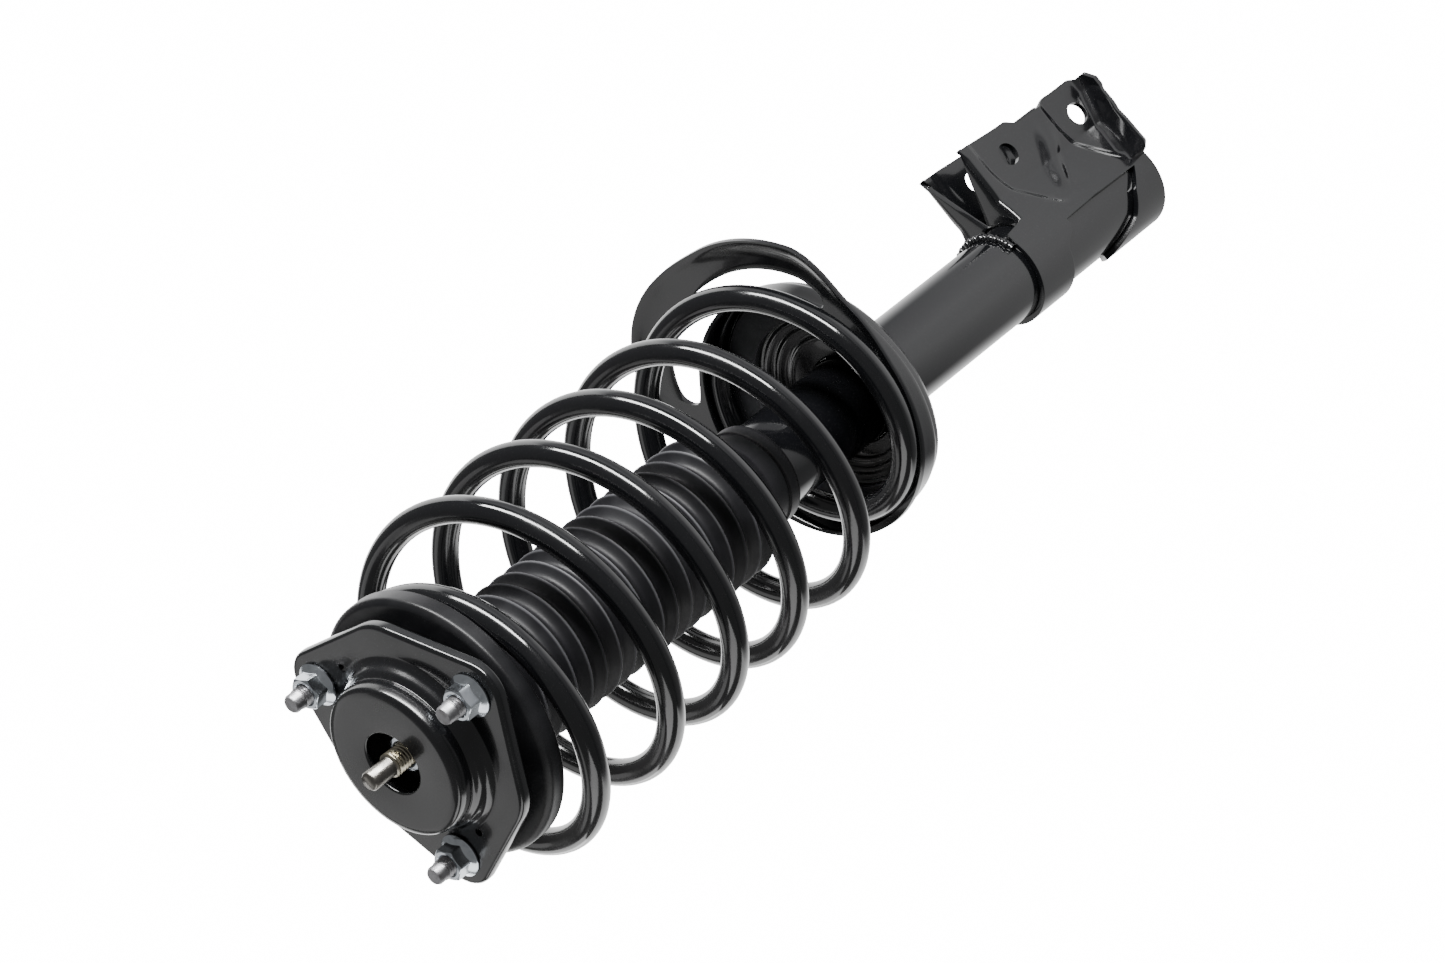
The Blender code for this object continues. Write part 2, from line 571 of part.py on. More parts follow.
def bracket_section():
    """Sheet-metal section across the tube: ear, slope, wrap round the back, slope, ear."""
    outer = [(EAR_TIP_X, -EAR_OUTER_Y), (32 * MM, -EAR_OUTER_Y)]
    outer += arc((0.0, 0.0), WRAP_OUTER, -74, -286, 22)
    outer += [(32 * MM, EAR_OUTER_Y), (EAR_TIP_X, EAR_OUTER_Y)]
    inner_y = EAR_OUTER_Y - SHEET
    inner = [(EAR_TIP_X, inner_y), (31.2 * MM, inner_y)]
    inner += arc((0.0, 0.0), WRAP_INNER, -286, -74, 22)
    inner += [(31.2 * MM, -inner_y), (EAR_TIP_X, -inner_y)]
    return outer + inner


def ear_waste():
    """What is trimmed off beyond the ears' free edge, with a shallow notch between the bolts."""
    return [
        (80 * MM, -440 * MM), (15.5 * MM, -440 * MM), (15.5 * MM, EAR_TOP), (63.7 * MM, EAR_TOP),
        (62.4 * MM, -502 * MM), (60.8 * MM, -505 * MM), (57.8 * MM, -512 * MM), (56.7 * MM, -527 * MM),
        (59.2 * MM, -534 * MM), (59.4 * MM, -557 * MM), (57.6 * MM, -562 * MM), (52 * MM, EAR_BOTTOM),
        (50 * MM, -575 * MM), (80 * MM, -575 * MM),
    ]


def make_bracket():
    bracket = sheet("knuckle_bracket", bracket_section(), EAR_BOTTOM, WRAP_TOP, BLACK_PAINT)
    cut(bracket, sheet("ear_waste", ear_waste(), -40 * MM, 40 * MM, BLACK_PAINT, "XZ", CUTTERS))
    foot = [(-40 * MM, -575 * MM), (6 * MM, -575 * MM), (6 * MM, TUBE_END), (-40 * MM, TUBE_END)]
    cut(bracket, sheet("wrap_foot", foot, -40 * MM, 40 * MM, BLACK_PAINT, "XZ", CUTTERS))
    opening = [
        (-12 * MM, -478 * MM), (2.5 * MM, -487 * MM), (3.5 * MM, -549 * MM), (-6 * MM, -539 * MM),
        (-12 * MM, -536 * MM), (-40 * MM, -517 * MM), (-40 * MM, -478 * MM),
    ]
    cut(bracket, sheet("wrap_opening", opening, -40 * MM, 40 * MM, BLACK_PAINT, "XZ", CUTTERS))
    for side in (-1, 1):
        label = "front" if side < 0 else "rear"
        inner_y = side * (EAR_OUTER_Y - SHEET / 2)
        flange_line = [(52 * MM, inner_y), (48 * MM, side * 27.5 * MM), (34 * MM, side * 31 * MM),
                       (11 * MM, side * 33 * MM), (7 * MM, side * 30 * MM), (8 * MM, side * 24.2 * MM)]
        web = [(60 * MM, inner_y), (24.5 * MM, side * 3 * MM), (24.2 * MM, side * 6 * MM),
               (19 * MM, side * 17 * MM), (17 * MM, side * 20 * MM)]
        if side > 0:
            flange_line.reverse()
            web.reverse()
        join(bracket, sheet(f"end_flange_{label}", flange_line, EAR_BOTTOM + 0.1 * MM,
                            EAR_BOTTOM + SHEET, BLACK_PAINT, collection=CUTTERS))
        join(bracket, sheet(f"top_web_{label}", web, EAR_TOP - SHEET, EAR_TOP - 0.1 * MM, BLACK_PAINT,
                            collection=CUTTERS))
    for number, (x, z) in enumerate((BOLT_UPPER, BOLT_LOWER), 1):
        hole = rod(f"bolt_hole_{number}", BOLT_RADIUS, 40 * MM, -40 * MM, BLACK_PAINT, ROUND, CUTTERS)
        hole.rotation_euler = (math.pi / 2, 0.0, 0.0)
        hole.location = (x, 0.0, z)
        cut(bracket, hole)
    bore = rod("bracket_bore", WRAP_INNER, -430 * MM, -575 * MM, BLACK_PAINT, WIDE_ROUND, CUTTERS)
    cut(bracket, bore)
    weld = turned("bracket_weld", [
        (TUBE_RADIUS + 1.4 * MM, WRAP_TOP + 4.2 * MM), (TUBE_RADIUS + 3.0 * MM, WRAP_TOP + 2.6 * MM),
        (TUBE_RADIUS + 3.0 * MM, WRAP_TOP + GAP), (TUBE_RADIUS + GAP, WRAP_TOP + GAP),
        (TUBE_RADIUS + GAP, WRAP_TOP + 4.6 * MM),
    ], BLACK_PAINT, WIDE_ROUND)
    away = [(-60 * MM, -60 * MM), (9 * MM, -60 * MM), (9 * MM, 60 * MM), (-60 * MM, 60 * MM)]
    cut(weld, sheet("weld_end", away, WRAP_TOP - 5 * MM, WRAP_TOP + 9 * MM, BLACK_PAINT, collection=CUTTERS))


make_top_mount()
make_bearing()
make_rod_group()
make_upper_seat()
make_coil_spring()
make_tube_group()
make_lower_seat()
make_bracket()
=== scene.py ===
import math

import bmesh
import bpy
import numpy as np
from mathutils import Matrix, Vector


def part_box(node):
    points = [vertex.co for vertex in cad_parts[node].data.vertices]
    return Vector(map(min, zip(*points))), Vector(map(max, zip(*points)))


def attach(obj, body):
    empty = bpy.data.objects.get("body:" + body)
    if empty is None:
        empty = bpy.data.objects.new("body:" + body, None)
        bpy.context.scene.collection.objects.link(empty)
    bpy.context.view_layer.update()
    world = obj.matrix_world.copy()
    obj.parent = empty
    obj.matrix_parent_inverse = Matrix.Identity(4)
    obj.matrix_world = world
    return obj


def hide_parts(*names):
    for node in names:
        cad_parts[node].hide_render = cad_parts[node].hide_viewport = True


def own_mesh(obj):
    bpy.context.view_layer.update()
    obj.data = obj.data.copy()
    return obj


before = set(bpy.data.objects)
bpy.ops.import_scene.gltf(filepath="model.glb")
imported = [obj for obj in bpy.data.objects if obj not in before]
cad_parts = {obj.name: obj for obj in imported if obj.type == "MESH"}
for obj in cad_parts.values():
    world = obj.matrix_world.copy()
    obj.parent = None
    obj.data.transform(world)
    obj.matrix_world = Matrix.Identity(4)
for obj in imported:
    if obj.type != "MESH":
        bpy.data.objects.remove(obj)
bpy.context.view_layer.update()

MM = 0.001


# Top plate
# Pressed from 3 mm sheet in one stroke: a rounded triangle with its rim turned down and a
# stepped cup in the middle that holds the rubber core. It is dipped in gloss black paint.

STUD_CIRCLE = 57.5
STUD_ANGLES = np.radians([32.5, -87.5, 152.5])
PLATE_LOBE = 16.5
PLATE_SIDE = 61.0
SIDE_RADIUS = 30.0
TANGENT_ANGLE = 41.7
PLATE_THICK = 3.0
PLATE_RIM_DEPTH = 6.0
STUD_HOLE_RADIUS = 5.3
SMALL_HOLES = np.radians([10.5, 174.5])
SMALL_HOLE_CIRCLE = 48.0
SMALL_HOLE_RADIUS = 2.0
HOLE_HALF_LENGTH = 12.0
BLACK = (0.0038, 0.0040, 0.0048, 1.0)


def skin(name, points, wrap_rows=False, wrap_columns=True, left_out=None, sharp=32):
    """Makes a mesh from a grid of points in millimetres.

    Each cell of the grid is one face between rows i, i + 1 and columns j, j + 1. Points that
    fall together at seams and poles are merged. A closed body's faces are turned outwards, and
    a sheet with cells left out keeps its own: column direction cross row direction.
    """
    rows, columns = points.shape[:2]
    index = np.arange(rows * columns).reshape(rows, columns)
    if wrap_rows:
        index = np.vstack([index, index[:1]])
    if wrap_columns:
        index = np.hstack([index, index[:, :1]])
    faces = np.stack([index[:-1, :-1], index[:-1, 1:], index[1:, 1:], index[1:, :-1]], axis=-1)
    if left_out is not None:
        faces = faces[~left_out]
    mesh = bpy.data.meshes.new(name)
    mesh.from_pydata((points.reshape(-1, 3) * MM).tolist(), [], faces.reshape(-1, 4).tolist())
    shape = bmesh.new()
    shape.from_mesh(mesh)
    bmesh.ops.remove_doubles(shape, verts=shape.verts, dist=0.000002)
    if left_out is None:
        bmesh.ops.recalc_face_normals(shape, faces=shape.faces)
    shape.to_mesh(mesh)
    shape.free()
    mesh.shade_smooth()
    mesh.set_sharp_from_angle(angle=math.radians(sharp))
    piece = bpy.data.objects.new(name, mesh)
    bpy.context.scene.collection.objects.link(piece)
    return piece


def soften(path, radius, steps=5):
    """Rounds the corners of a closed path of (radius, height) points.

    A corner P becomes the quadratic curve from a point before P to a point after P, each the
    given radius away but never past 45 percent of the way to the neighbour.
    """
    path = np.asarray(path, float)
    before = np.roll(path, 1, axis=0) - path
    after = np.roll(path, -1, axis=0) - path
    start = path + before * np.minimum(radius / np.linalg.norm(before, axis=1), 0.45)[:, None]
    end = path + after * np.minimum(radius / np.linalg.norm(after, axis=1), 0.45)[:, None]
    s = np.linspace(0, 1, steps)[None, :, None]
    curve = (1 - s) ** 2 * start[:, None] + 2 * s * (1 - s) * path[:, None] + s ** 2 * end[:, None]
    return curve.reshape(-1, 2)


def ease(value, start, end):
    """0 before start, 1 after end, and 3 t^2 - 2 t^3 between them."""
    t = np.clip((value - start) / (end - start), 0, 1)
    return t * t * (3 - 2 * t)


def plate_edge(angle):
    """Distance of the plate's edge from its middle.

    It is a circle round a stud and a wider one on the sides, with their common tangent between
    the two. The angle is counted from the nearest stud.
    """
    off = np.abs((angle - STUD_ANGLES[0] + math.pi / 3) % (2 * math.pi / 3) - math.pi / 3)
    round_stud = np.radians(np.linspace(0, TANGENT_ANGLE, 24))
    lobe = PLATE_LOBE * np.stack([np.cos(round_stud), np.sin(round_stud)])
    lobe[0] += STUD_CIRCLE
    side = np.radians(np.linspace(TANGENT_ANGLE, 60, 12))
    middle = (PLATE_SIDE - SIDE_RADIUS) * np.array([[0.5], [math.sqrt(0.75)]])
    wide = middle + SIDE_RADIUS * np.stack([np.cos(side), np.sin(side)])
    straight = lobe[:, -1:] + (wide[:, :1] - lobe[:, -1:]) * np.linspace(0, 1, 24)[1:-1]
    edge = np.hstack([lobe, straight, wide])
    return np.interp(off, np.arctan2(edge[1], edge[0]), np.hypot(edge[0], edge[1]))


def settled(piece):
    """Fixes a piece's modifiers into its mesh and removes the cutters that they used."""
    bpy.context.view_layer.update()
    graph = bpy.context.evaluated_depsgraph_get()
    mesh = bpy.data.meshes.new_from_object(piece.evaluated_get(graph))
    cutters = [step.object for step in piece.modifiers if step.type == "BOOLEAN"]
    piece.modifiers.clear()
    piece.data = mesh
    for cutter in cutters:
        bpy.data.objects.remove(cutter, do_unlink=True)
    mesh.shade_smooth()
    mesh.set_sharp_from_angle(angle=math.radians(32))
    return piece


def drill(piece, name, centre, radius, half_length, axis="Z", own_folds=False):
    """Cuts a round hole: a closed cylinder centred on a point, along Z or along Y.

    A pressed sheet whose wall meets itself in a tight fold is cut with its own folds worked out.
    """
    turn = np.linspace(0, 2 * math.pi, 48, endpoint=False)
    ring_radius = np.array([0, radius, radius, 0])[:, None]
    height = np.array([-1, -1, 1, 1])[:, None] * half_length + 0 * turn
    x, y = ring_radius * np.cos(turn), ring_radius * np.sin(turn)
    layers = (x, height, y) if axis == "Y" else (x, y, height)
    cutter = skin(name, np.stack(layers, axis=-1) + np.array(centre))
    hole = piece.modifiers.new(name, "BOOLEAN")
    hole.operation = "DIFFERENCE"
    hole.solver = "EXACT"
    hole.use_self = own_folds
    hole.object = cutter


def shader_group(name, inputs, outputs):
    """Starts a node group with the named value inputs and the named outputs."""
    group = bpy.data.node_groups.new(name, "ShaderNodeTree")
    for label, kind, start in inputs:
        socket = group.interface.new_socket(label, in_out="INPUT", socket_type=kind)
        socket.default_value = start
    for label, kind in outputs:
        group.interface.new_socket(label, in_out="OUTPUT", socket_type=kind)
    return group, group.nodes.new("NodeGroupInput"), group.nodes.new("NodeGroupOutput")


def noise(tree, scale, detail, vector):
    node = tree.nodes.new("ShaderNodeTexNoise")
    node.inputs["Scale"].default_value = scale
    node.inputs["Detail"].default_value = detail
    tree.links.new(vector, node.inputs["Vector"])
    return node.outputs["Fac"]


def spread(tree, value, low, high, out_low, out_high):
    """Maps a value from one range to another, held at both ends. A limit may be a socket."""
    node = tree.nodes.new("ShaderNodeMapRange")
    tree.links.new(value, node.inputs["Value"])
    limits = {"From Min": low, "From Max": high, "To Min": out_low, "To Max": out_high}
    for label, limit in limits.items():
        if isinstance(limit, bpy.types.NodeSocket):
            tree.links.new(limit, node.inputs[label])
        else:
            node.inputs[label].default_value = limit
    return node.outputs["Result"]


def mixed(tree, share, first, second):
    """Mixes two colours, each a socket or four numbers, by a share from 0 to 1."""
    node = tree.nodes.new("ShaderNodeMix")
    node.data_type = "RGBA"
    tree.links.new(share, node.inputs[0])
    for socket, colour in ((node.inputs[6], first), (node.inputs[7], second)):
        if isinstance(colour, bpy.types.NodeSocket):
            tree.links.new(colour, socket)
        else:
            socket.default_value = colour
    return node.outputs[2]


def bumped(tree, height, depth):
    """Turns a height from 0 to 1 into a normal, as if it stood depth millimetres proud."""
    node = tree.nodes.new("ShaderNodeBump")
    node.inputs["Distance"].default_value = depth * MM
    node.inputs["Strength"].default_value = 1.0
    tree.links.new(height, node.inputs["Height"])
    return node.outputs["Normal"]


def make_paint_film():
    """Sprayed paint: a fine ripple, soft patches of duller film and sparse specks of dust."""
    group, given, out = shader_group(
        "paint_film",
        [("Gloss Low", "NodeSocketFloat", 0.10), ("Gloss High", "NodeSocketFloat", 0.30),
         ("Dust", "NodeSocketFloat", 0.2)],
        [("Roughness", "NodeSocketFloat"), ("Dust Mask", "NodeSocketFloat"),
         ("Height", "NodeSocketFloat")],
    )
    place = group.nodes.new("ShaderNodeTexCoord").outputs["Object"]
    patches = noise(group, 38, 4, place)
    specks = noise(group, 1900, 1, place)
    ripple = noise(group, 420, 2, place)
    gloss = spread(group, patches, 0.35, 0.7, given.outputs[0], given.outputs[1])
    group.links.new(gloss, out.inputs[0])
    specked = spread(group, specks, 0.66, 0.78, 0.0, given.outputs["Dust"])
    group.links.new(specked, out.inputs[1])
    group.links.new(ripple, out.inputs[2])
    return group


def new_material(name):
    material = bpy.data.materials.new(name)
    material.use_nodes = True
    return material, material.node_tree, material.node_tree.nodes["Principled BSDF"]


def placed_group(tree, group, **values):
    node = tree.nodes.new("ShaderNodeGroup")
    node.node_tree = group
    for label, value in values.items():
        node.inputs[label.replace("_", " ")].default_value = value
    return node.outputs


paint_film = make_paint_film()


def black_paint(name, low, high, dust, ripple=0.010):
    """Gloss black paint under a clear coat. Dust lightens it in specks and duller patches."""
    material, tree, shader = new_material(name)
    film = placed_group(tree, paint_film, Gloss_Low=low, Gloss_High=high, Dust=dust)
    colour = mixed(tree, film["Dust Mask"], BLACK, (0.10, 0.098, 0.095, 1))
    tree.links.new(colour, shader.inputs["Base Color"])
    tree.links.new(film["Roughness"], shader.inputs["Roughness"])
    tree.links.new(bumped(tree, film["Height"], ripple), shader.inputs["Normal"])
    shader.inputs["Specular IOR Level"].default_value = 0.6
    shader.inputs["Coat Weight"].default_value = 0.5
    shader.inputs["Coat Roughness"].default_value = 0.04
    return material


def finish(piece, material, body, slot, *nodes):
    """Gives a piece its material, its body, and the CAD nodes that it stands for."""
    piece.data.materials.clear()
    piece.data.materials.append(material)
    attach(piece, body)
    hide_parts(*nodes)
    return piece


def make_top_plate():
    """A closed path of (radius, height) points, turned about the axis.

    Outside the cup a point takes a growing share of the waviness of the plate's edge.
    """
    inner_corner, outer_corner = 1.25, 2.6
    cup = [(15.5, 13.6), (15.5, 16.3), (34.4, 16.3), (37.8, 15.3), (38.8, 12.0), (38.8, 8.2),
           (37.7, 6.6), (40.8, 4.9), (42.6, 1.6), (45.6, 0.0)]
    rim_inside = PLATE_SIDE - PLATE_THICK
    outside = [(PLATE_SIDE, 0.0), (PLATE_SIDE, -PLATE_RIM_DEPTH), (rim_inside, -PLATE_RIM_DEPTH),
               (rim_inside, -PLATE_THICK)]
    under = [(46.0, -PLATE_THICK), (41.2, -PLATE_THICK), (37.0, 1.0), (35.6, 4.0), (35.6, 11.0),
             (33.2, 13.3)]
    corner = np.full(len(cup + outside + under), inner_corner)
    corner[len(cup)] = outer_corner
    path = soften(cup + outside + under, corner)
    turn = np.linspace(0, 2 * math.pi, 360, endpoint=False)
    share = ease(path[:, 0], 46.0, PLATE_SIDE - 4)[:, None]
    radius = path[:, :1] + share * (plate_edge(turn) - PLATE_SIDE)
    height = path[:, 1:] + 0 * turn
    place = np.stack([radius * np.cos(turn), radius * np.sin(turn), height], axis=-1)
    return skin("pressed_top_plate", place, wrap_rows=True)


top_plate = make_top_plate()
for number, angle in enumerate(STUD_ANGLES):
    place = (STUD_CIRCLE * math.cos(angle), STUD_CIRCLE * math.sin(angle), 0)
    drill(top_plate, f"stud_hole_{number}", place, STUD_HOLE_RADIUS, HOLE_HALF_LENGTH)
for number, angle in enumerate(SMALL_HOLES):
    place = (SMALL_HOLE_CIRCLE * math.cos(angle), SMALL_HOLE_CIRCLE * math.sin(angle), 0)
    drill(top_plate, f"small_hole_{number}", place, SMALL_HOLE_RADIUS, HOLE_HALF_LENGTH)
plate_paint = black_paint("top_plate_paint", 0.14, 0.30, 0.20)
finish(settled(top_plate), plate_paint, "top_mount", "black_paint", "mount_plate")


# Studs
# Three cold-headed steel studs pressed in from below. Each has a rolled thread and ends in a
# short plain point with a chamfer, which guides it into its hole.

STUD_RADIUS = 5.0
STUD_PITCH = 1.5
STUD_THREAD_DEPTH = 0.85


def threaded(name, below, above, radius, pitch, start, end, depth, centre=(0, 0)):
    """A turned shaft whose middle carries a right-hand thread.

    Between start and end the radius is the shaft's less depth times a triangle wave of
    height / pitch less the part of a turn. The wave fades out over one pitch at both ends.
    """
    turn = np.linspace(0, 2 * math.pi, 48, endpoint=False)
    height = np.arange(start, end, pitch / 8)
    wave = np.abs(((height[:, None] / pitch - turn / (2 * math.pi)) % 1) * 2 - 1)
    wave = np.clip(wave * 1.3 - 0.15, 0, 1)
    fade = ease(height, start, start + pitch) * (1 - ease(height, end - pitch, end))
    coarse = radius - depth * wave * fade[:, None]
    rings = [(r + 0 * turn, z + 0 * turn) for r, z in below]
    rings += [(r, z + 0 * turn) for r, z in zip(coarse, height)]
    rings += [(r + 0 * turn, z + 0 * turn) for r, z in above]
    r, z = np.array([ring[0] for ring in rings]), np.array([ring[1] for ring in rings])
    place = np.stack([centre[0] + r * np.cos(turn), centre[1] + r * np.sin(turn), z], axis=-1)
    return skin(name, place, sharp=50)


def make_metal_wear():
    """Bare or plated metal: fine drawn lines along Z, cloudy patches and a few darker stains."""
    group, given, out = shader_group(
        "metal_wear",
        [("Rough Low", "NodeSocketFloat", 0.2), ("Rough High", "NodeSocketFloat", 0.4),
         ("Stain", "NodeSocketFloat", 0.4)],
        [("Roughness", "NodeSocketFloat"), ("Stain Mask", "NodeSocketFloat"),
         ("Height", "NodeSocketFloat")],
    )
    place = group.nodes.new("ShaderNodeTexCoord").outputs["Object"]
    clouds = noise(group, 160, 4, place)
    fine = noise(group, 2600, 2, place)
    stains = noise(group, 330, 3, place)
    rough = spread(group, clouds, 0.3, 0.7, given.outputs[0], given.outputs[1])
    group.links.new(rough, out.inputs[0])
    stained = spread(group, stains, 0.5, 0.75, 0.0, given.outputs["Stain"])
    group.links.new(stained, out.inputs[1])
    group.links.new(fine, out.inputs[2])
    return group


metal_wear = make_metal_wear()
METAL_GRAIN = 0.004


def metal(name, colour, stain_colour, low, high, stain):
    """Metal with patchy roughness, stained in places towards a second colour."""
    material, tree, shader = new_material(name)
    wear = placed_group(tree, metal_wear, Rough_Low=low, Rough_High=high, Stain=stain)
    base = mixed(tree, wear["Stain Mask"], colour, stain_colour)
    tree.links.new(base, shader.inputs["Base Color"])
    tree.links.new(wear["Roughness"], shader.inputs["Roughness"])
    tree.links.new(bumped(tree, wear["Height"], METAL_GRAIN), shader.inputs["Normal"])
    shader.inputs["Metallic"].default_value = 1.0
    return material


stud_steel = metal("stud_steel", (0.33, 0.33, 0.34, 1), (0.16, 0.15, 0.15, 1), 0.32, 0.5, 0.6)
for number, angle in enumerate(STUD_ANGLES, 1):
    stud = threaded(
        f"pressed_stud_{number}",
        [(0, -5.8), (8.4, -5.8), (9, -5.3), (9, -3.3), (STUD_RADIUS, -3.3)],
        [(4.6, 14.4), (4.6, 17.9), (3.9, 19), (0, 19)],
        STUD_RADIUS, STUD_PITCH, -2.8, 14.0, STUD_THREAD_DEPTH,
        (STUD_CIRCLE * math.cos(angle), STUD_CIRCLE * math.sin(angle)),
    )
    finish(stud, stud_steel, "top_mount", "plain_steel", f"mount_stud_{number}")


# Flange nuts
# Cold-forged hexagon nuts with a wide washer face, chamfered on top and plated with bright
# bluish zinc. They are run down against the plate.

NUT_FLATS = 15.0
NUT_FLANGE = 10.9
NUT_BOTTOM = 0.3
NUT_TOP = 10.0


def hexagon(turn, flats, start):
    """Distance of a hexagon's edge from its middle, with its corners slightly cut.

    It is half the width over the cosine of the angle from the nearest flat.
    """
    off = (turn - start + math.pi / 6) % (math.pi / 3) - math.pi / 6
    return np.minimum(flats / 2 / np.cos(off), flats / 2 * 1.13)


def hex_nut(name, centre, flats, bottom, top, bore, flange, start):
    """Rings from the bore's foot along the bottom, up the side, over the chamfer, to the bore.

    The chamfer is a cone of 30 degrees that cuts the hexagon's corners, and the flange's top is
    a cone that the hexagon stands on.
    """
    turn = np.linspace(0, 2 * math.pi, 96, endpoint=False)
    side = hexagon(turn, flats, start)
    corner_cut = np.maximum(side - flats / 2 * 0.97, 0) * math.tan(math.radians(30))
    rings = [(bore + 0 * turn, bottom + 0.6), (bore + 0.6 + 0 * turn, bottom + 0 * turn)]
    if flange:
        foot = 1.6 + (flange - 0.6 - side) * 0.62
        rings += [(flange - 0.25 + 0 * turn, bottom), (flange + 0 * turn, bottom + 0.3),
                  (flange + 0 * turn, bottom + 0.9), (flange - 0.5 + 0 * turn, bottom + 1.4),
                  (side + 0.5, bottom + foot - 0.3), (side + 0.12, bottom + foot + 0.05),
                  (side, bottom + foot + 0.5)]
    else:
        rings += [(side - 0.4, bottom), (side, bottom + 0.4)]
    rings += [(side, top - corner_cut - 0.25), (side - 0.2, top - corner_cut),
              (np.minimum(side, flats / 2 * 0.97), top - 0.05), (flats / 2 * 0.94 + 0 * turn, top),
              (bore + 0.9 + 0 * turn, top), (bore + 0 * turn, top - 0.8)]
    r = np.array([ring[0] for ring in rings])
    z = np.array([ring[1] + 0 * turn for ring in rings])
    place = np.stack([centre[0] + r * np.cos(turn), centre[1] + r * np.sin(turn), z], axis=-1)
    return skin(name, place, wrap_rows=True, sharp=25)


zinc_plate = metal("zinc_plate", (0.78, 0.83, 0.88, 1), (0.52, 0.57, 0.63, 1), 0.09, 0.24, 0.5)
for number, angle in enumerate(STUD_ANGLES, 1):
    place = (STUD_CIRCLE * math.cos(angle), STUD_CIRCLE * math.sin(angle))
    nut = hex_nut(f"zinc_flange_nut_{number}", place, NUT_FLATS, NUT_BOTTOM, NUT_TOP,
                  STUD_RADIUS + 0.1, NUT_FLANGE, angle + number)
    finish(nut, zinc_plate, "top_mount", "zinc_plate", f"flange_nut_{number}")


# Rubber core, retainer and bearing
# The core is moulded rubber pressed into the cup and held from below by a painted steel ring.
# A steel ball bearing sits in it, so that the rod can turn when the wheel is steered.

def make_rubber_skin():
    """Moulded rubber: a fine grain, faint bloom in patches and a few light scuffs."""
    group, given, out = shader_group(
        "rubber_skin",
        [("Rough Low", "NodeSocketFloat", 0.5), ("Rough High", "NodeSocketFloat", 0.8),
         ("Bloom", "NodeSocketFloat", 0.3)],
        [("Roughness", "NodeSocketFloat"), ("Bloom Mask", "NodeSocketFloat"),
         ("Height", "NodeSocketFloat")],
    )
    place = group.nodes.new("ShaderNodeTexCoord").outputs["Object"]
    patches = noise(group, 55, 5, place)
    grain = noise(group, 2200, 3, place)
    rough = spread(group, patches, 0.3, 0.7, given.outputs[0], given.outputs[1])
    group.links.new(rough, out.inputs[0])
    bloomed = spread(group, patches, 0.45, 0.8, 0.0, given.outputs["Bloom"])
    group.links.new(bloomed, out.inputs[1])
    group.links.new(grain, out.inputs[2])
    return group


rubber_skin = make_rubber_skin()


def rubber(name, colour, bloom_colour, low, high, bloom, grain=0.02):
    """Rubber, foam or plastic that blooms in patches towards a second colour."""
    material, tree, shader = new_material(name)
    moulded = placed_group(tree, rubber_skin, Rough_Low=low, Rough_High=high, Bloom=bloom)
    base = mixed(tree, moulded["Bloom Mask"], colour, bloom_colour)
    tree.links.new(base, shader.inputs["Base Color"])
    tree.links.new(moulded["Roughness"], shader.inputs["Roughness"])
    tree.links.new(bumped(tree, moulded["Height"], grain), shader.inputs["Normal"])
    shader.inputs["Specular IOR Level"].default_value = 0.4
    return material


def dress(material, *names):
    """Gives CAD nodes that are shown as they are their material."""
    for name in names:
        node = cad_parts[name]
        node.data.materials.clear()
        node.data.materials.append(material)


core_rubber = rubber("core_rubber", (0.012, 0.012, 0.013, 1), (0.035, 0.035, 0.036, 1),
                     0.45, 0.7, 0.5)
bearing_steel = metal("bearing_steel", (0.55, 0.55, 0.57, 1), (0.40, 0.39, 0.38, 1),
                      0.12, 0.25, 0.3)
dress(core_rubber, "mount_rubber", "rod_seal")
dress(plate_paint, "mount_retainer", "upper_spring_seat", "tube_cap", "tube_end_cap", "seat_weld")
dress(bearing_steel, "bearing_outer_race", "bearing_inner_race", "bearing_balls", "rebound_valve")


# Piston rod and its nut
# Ground and chromed steel rod. Its stem carries a rolled thread with a long plain point, and a
# zinc-plated nut clamps washer, bearing and spring seat against the shoulder.

ROD_RADIUS = 10.0
ROD_THREAD_RADIUS = 6.0
ROD_PITCH = 1.75
ROD_THREAD_DEPTH = 1.1
ROD_SHOULDER = -16.3
ROD_STEM_TOP = -298.0
ROD_NUT_FLATS = 18.0


def rod_metal():
    """Hard chrome below the shoulder, a yellow-passivated thread above it, a darker point."""
    material, tree, shader = new_material("rod_metal")
    wear = placed_group(tree, metal_wear, Rough_Low=0.22, Rough_High=0.38, Stain=0.6)
    place = tree.nodes.new("ShaderNodeTexCoord")
    split = tree.nodes.new("ShaderNodeSeparateXYZ")
    tree.links.new(place.outputs["Object"], split.inputs[0])
    height = split.outputs["Z"]
    chrome = mixed(tree, wear["Stain Mask"], (0.62, 0.62, 0.63, 1), (0.48, 0.47, 0.45, 1))
    thread = mixed(tree, wear["Stain Mask"], (0.56, 0.52, 0.41, 1), (0.30, 0.26, 0.18, 1))
    point = mixed(tree, wear["Stain Mask"], (0.25, 0.24, 0.22, 1), (0.14, 0.13, 0.12, 1))
    above = mixed(tree, spread(tree, height, 0.0178, 0.0186, 0, 1), thread, point)
    colour = mixed(tree, spread(tree, height, -0.0170, -0.0160, 0, 1), chrome, above)
    tree.links.new(colour, shader.inputs["Base Color"])
    tree.links.new(wear["Roughness"], shader.inputs["Roughness"])
    tree.links.new(bumped(tree, wear["Height"], METAL_GRAIN), shader.inputs["Normal"])
    shader.inputs["Metallic"].default_value = 1.0
    return material


